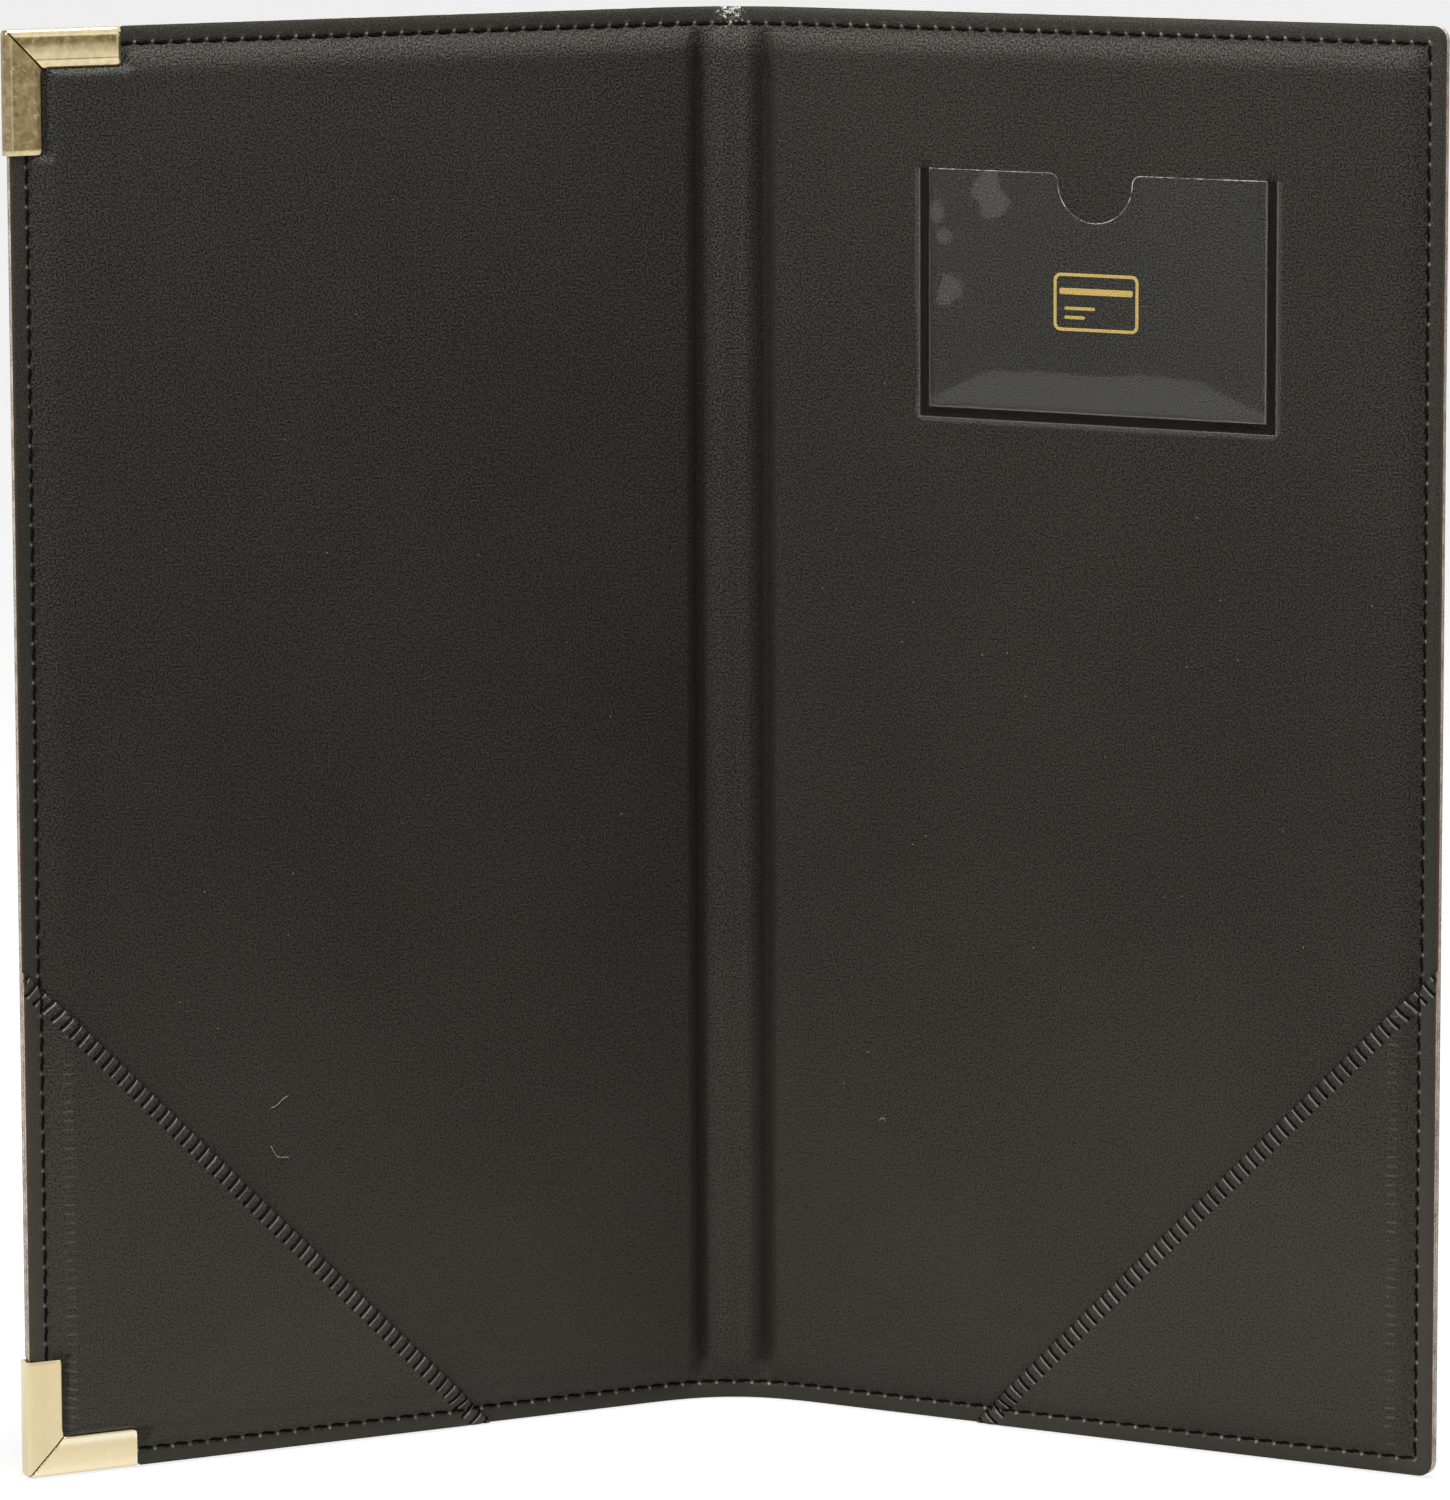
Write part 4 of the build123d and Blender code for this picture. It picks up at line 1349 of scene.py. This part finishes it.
def make_film_edge():
    """The rounded bead of the film's open edge."""
    s, z = np.array(film_outline()).T
    free = weld_distance(s - FOLD_X, z) > WELD_BEAD + WELD_CHANNEL
    s, z = s[free], z[free]
    path = stand(1, s, z, film_height(s, z) - FILM / 2)[None]
    up = np.array([0.3, -1.0, 0.1])
    edge = add_tubes("card_window_edge", path, up, EDGE_BEAD * MM, film_edge_look)
    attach(edge, "back_cover")
    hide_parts("card_window")


def rounded_box(middle, size, radius, count=6):
    """Outline of a box with rounded corners, from its lower left, anticlockwise."""
    half_u, half_z = size[0] / 2 - radius, size[1] / 2 - radius
    line = []
    for turn, (way_u, way_z) in enumerate(((-1, -1), (1, -1), (1, 1), (-1, 1))):
        centre = (middle[0] + way_u * half_u, middle[1] + way_z * half_z)
        line += arc(centre, (radius, radius), 180 + 90 * turn, 270 + 90 * turn, count)
    return line


def foil_between(outer, inner, low, high):
    """A flat closed band between two outlines with equally many points."""
    count = len(outer)
    rings = ((outer, high), (inner, high), (inner, low), (outer, low))
    points = [(*p, n) for line, n in rings for p in line]
    faces = []
    for ring in range(4):
        for i in range(count):
            j = (i + 1) % count
            here, there = ring * count, ((ring + 1) % 4) * count
            faces.append([here + i, here + j, there + j, there + i])
    return points, faces


def make_pictogram():
    """A payment card in gold foil: a rounded frame, a stripe and two short lines."""
    middle = (FOLD_X + WINDOW_MIDDLE, WINDOW_TOP - CARD_DROP)
    base = SKIN + PAD_RISE + FOIL_LIFT
    inner = (CARD[0] - 2 * CARD_LINE, CARD[1] - 2 * CARD_LINE)
    strokes = [(rounded_box(middle, CARD, CARD_ROUND), rounded_box(middle, inner, 0.8))]
    stripe = ((0, 1.9), (inner[0] - 1.2, 1.1))
    for (du, dz), size in (stripe, ((-3.2, -1.1), (6.0, CARD_LINE)), ((-4.2, -2.7), (4.0, CARD_LINE))):
        spot = (middle[0] + du, middle[1] + dz)
        strokes.append((rounded_box(spot, size, 0.3), rounded_box(spot, (0.02, 0.02), 0.005)))
    points, faces = [], []
    for outer, inner in strokes:
        new_points, new_faces = foil_between(outer, inner, base, base + FOIL)
        faces += [[v + len(points) for v in f] for f in new_faces]
        points += new_points
    s, z, n = np.array(points).T
    level = lining_height(1)(s, z) - base
    uv = np.column_stack([s, z]) * MM
    piece = add_piece("card_pictogram", stand(1, s, z, n + level), faces, [foil_look], uv=uv, sharp=30)
    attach(piece, "back_cover")


# Lint and dust ---------------------------------------------------------------

def make_lint():
    """A few curled fibres and specks that cling to the leather."""
    for cover, side in COVERS.items():
        chance, height = np.random.default_rng(201 + side), lining_height(side)
        paths = []
        for corners in LINT[cover]:
            u, z = np.array(corners).T
            t, ends = np.linspace(0, 1, LINT_POINTS), np.linspace(0, 1, len(u))
            s, heights = FOLD_X + np.interp(t, ends, u), np.interp(t, ends, z)
            paths.append(stand(side, s, heights, height(s, heights) + 0.06))
        for _ in range(DUST):
            u, z = chance.uniform(12, WIDTH - 12), chance.uniform(60, HEIGHT - 12)
            turn, length = chance.uniform(0, pi), chance.uniform(0.12, 0.32)
            along = np.linspace(-0.5, 0.5, LINT_POINTS) * length
            s, heights = FOLD_X + u + along * cos(turn), z + along * sin(turn)
            paths.append(stand(side, s, heights, height(s, heights) + 0.05))
        up = np.array([0.1, -1.0, 0.2])
        piece = add_tubes(cover + "_lint", np.array(paths), up, LINT_RADIUS * MM, lint_look, 5)
        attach(piece, cover + "_cover")


# Making the object -----------------------------------------------------------

foam_look = foam_material()
film_look = film_material()
film_edge_look = film_edge_material()
lint_look = lint_material()
foil_look = foil_material()
board_look = board_material()
ladder_thread = thread_material("ladder_thread", (0.0015, 0.0015, 0.0013), (0.008, 0.008, 0.007))
# Painted highlights and painted shade across each leg of the brass, in place of its reflections:
# (millimetres in from the outer edge, value). The first two stops are the two ends.
TOP_UPRIGHT_PAINTED_LIGHT = (
    (0, 0.2), (6.8, 0.1), (0.85, 0.25), (1.05, 0.55), (1.25, 0.5), (1.4, 0.12), (2.2, 0.17),
    (5.3, 0.2), (5.7, 0.1), (6.4, 0.0),
)
TOP_LEVEL_PAINTED_LIGHT = (
    (0, 0.8), (6.8, 0.4), (1.15, 0.95), (1.5, 0.1), (2.4, 0.12), (3.2, 0.5), (4.6, 0.9),
    (5.15, 0.95), (5.3, 0.2), (5.5, 0.9), (6.4, 0.8),
)
BOTTOM_UPRIGHT_PAINTED_LIGHT = (
    (0, 0.3), (6.8, 0.0), (1.0, 0.2), (3.0, 0.15), (5.8, 0.2), (6.5, 0.15), (6.65, 0.0),
)
BOTTOM_LEVEL_PAINTED_LIGHT = (
    (0, 0.5), (6.8, 0.0), (1.2, 0.5), (2.2, 0.35), (4.6, 0.2), (5.3, 0.3), (5.7, 1.0), (6.3, 1.0),
    (6.6, 0.1),
)
# the top corner is darker partly because it is worn and partly as a painted dim reflection; the bottom
# corner is paler as a painted reflection of the bright floor
AGED_DIM_REFLECTION = ((0.19, 0.135, 0.055), (0.8, 0.66, 0.4))
BRIGHT_REFLECTION = ((0.56, 0.45, 0.25), (0.93, 0.84, 0.62))
aged_brass_dim_reflection = brass_material("aged_brass_dim_reflection", *AGED_DIM_REFLECTION, TOP_UPRIGHT_PAINTED_LIGHT, TOP_LEVEL_PAINTED_LIGHT, 1.0)
brass_bright_reflection = brass_material("brass_bright_reflection", *BRIGHT_REFLECTION, BOTTOM_UPRIGHT_PAINTED_LIGHT, BOTTOM_LEVEL_PAINTED_LIGHT, 0.15)

for cover_name in COVERS:
    make_half(cover_name)
    make_pocket(cover_name)
    make_foam(cover_name)
    make_seam_thread(cover_name)
    make_ladder_thread(cover_name)
make_metal("top_brass_corner", True, SKIN, METAL_LEG, aged_brass_dim_reflection)
make_metal("bottom_brass_corner", False, 2 * SKIN, METAL_LEG_BOTTOM, brass_bright_reflection)
make_film()
make_pictogram()
make_lint()
for node in ("front_board", "back_board", "spine_strip"):
    board = frame["nodes"][node]
    board.data.materials.clear()
    board.data.materials.append(board_look)


# Floor, light and camera -----------------------------------------------------

FLOOR_REACH = 30.0            # metres from the middle to each side
FLOOR_DROP = 0.0003
FLOOR_GLOW = 0.82             # share of the floor's own light where it is seen or mirrored
FILL_LIGHT = 0.2              # level of the world's light
AIM = (0, 0, 0.14)            # middle of the presenter, at which the lamps are pointed
SENSOR = 36.0                 # millimetres, as is the focal length
FOCAL_LENGTH = 203.1
CAMERA_PLACE = (0.0155, -1.4833, 0.3431)
CAMERA_DIP = 8.389            # degrees that the camera looks down
CAMERA_ROLL = 0.0029
CAMERA_TURN = 0.0107


def make_floor():
    square = ((-1, -1), (1, -1), (1, 1), (-1, 1))
    corners = [(x * FLOOR_REACH, y * FLOOR_REACH, -FLOOR_DROP) for x, y in square]
    mesh = bpy.data.meshes.new("floor")
    mesh.from_pydata(corners, [], [(0, 1, 2, 3)])
    floor = bpy.data.objects.new("floor", mesh)
    bpy.context.scene.collection.objects.link(floor)
    m = Nodes("pale_floor")
    m.set(Base_Color=(0.86, 0.86, 0.85, 1), Roughness=0.9, Specular_IOR_Level=0.1)
    glow = m.add("Emission", {"Color": (1, 1, 1, 1), "Strength": 1.0}).outputs[0]
    shaders = {0: m.seen() * FLOOR_GLOW, 1: m.shader.outputs[0], 2: glow}
    m.put(m.tree.nodes["Material Output"].inputs["Surface"], m.add("MixShader", shaders).outputs[0])
    mesh.materials.append(m.material)


def make_world():
    """White where it is seen or mirrored, and a plain level of light elsewhere."""
    world = bpy.data.worlds.new("studio")
    bpy.context.scene.world = world
    m = Nodes("studio", world)
    strength = m.field("MapRange", {0: m.seen(), 3: FILL_LIGHT, 4: 1.0})
    m.set(Color=(1, 1, 1, 1), Strength=strength)


def make_lamp(name, place_at, size, power):
    light = bpy.data.lights.new(name, "AREA")
    light.shape = "RECTANGLE"
    light.size, light.size_y = size
    light.energy = power
    lamp = bpy.data.objects.new(name, light)
    lamp.location = place_at
    lamp.visible_camera = False
    lamp.rotation_euler = (Vector(AIM) - Vector(place_at)).to_track_quat("-Z", "Y").to_euler()
    bpy.context.scene.collection.objects.link(lamp)


def make_camera():
    camera = bpy.data.cameras.new("camera")
    camera.sensor_width = SENSOR
    camera.lens = FOCAL_LENGTH
    camera.clip_end = 100.0
    view = bpy.data.objects.new("camera", camera)
    view.location = CAMERA_PLACE
    view.rotation_euler = (radians(90 - CAMERA_DIP), CAMERA_ROLL, CAMERA_TURN)
    bpy.context.scene.collection.objects.link(view)
    bpy.context.scene.camera = view


make_floor()
make_world()
make_lamp("left", (-0.95, -0.7, 0.85), (0.4, 0.4), 14.0)
make_lamp("over", (0.1, -0.12, 1.1), (0.6, 0.2), 26.0)
make_camera()
bpy.context.scene.view_settings.view_transform = "Standard"
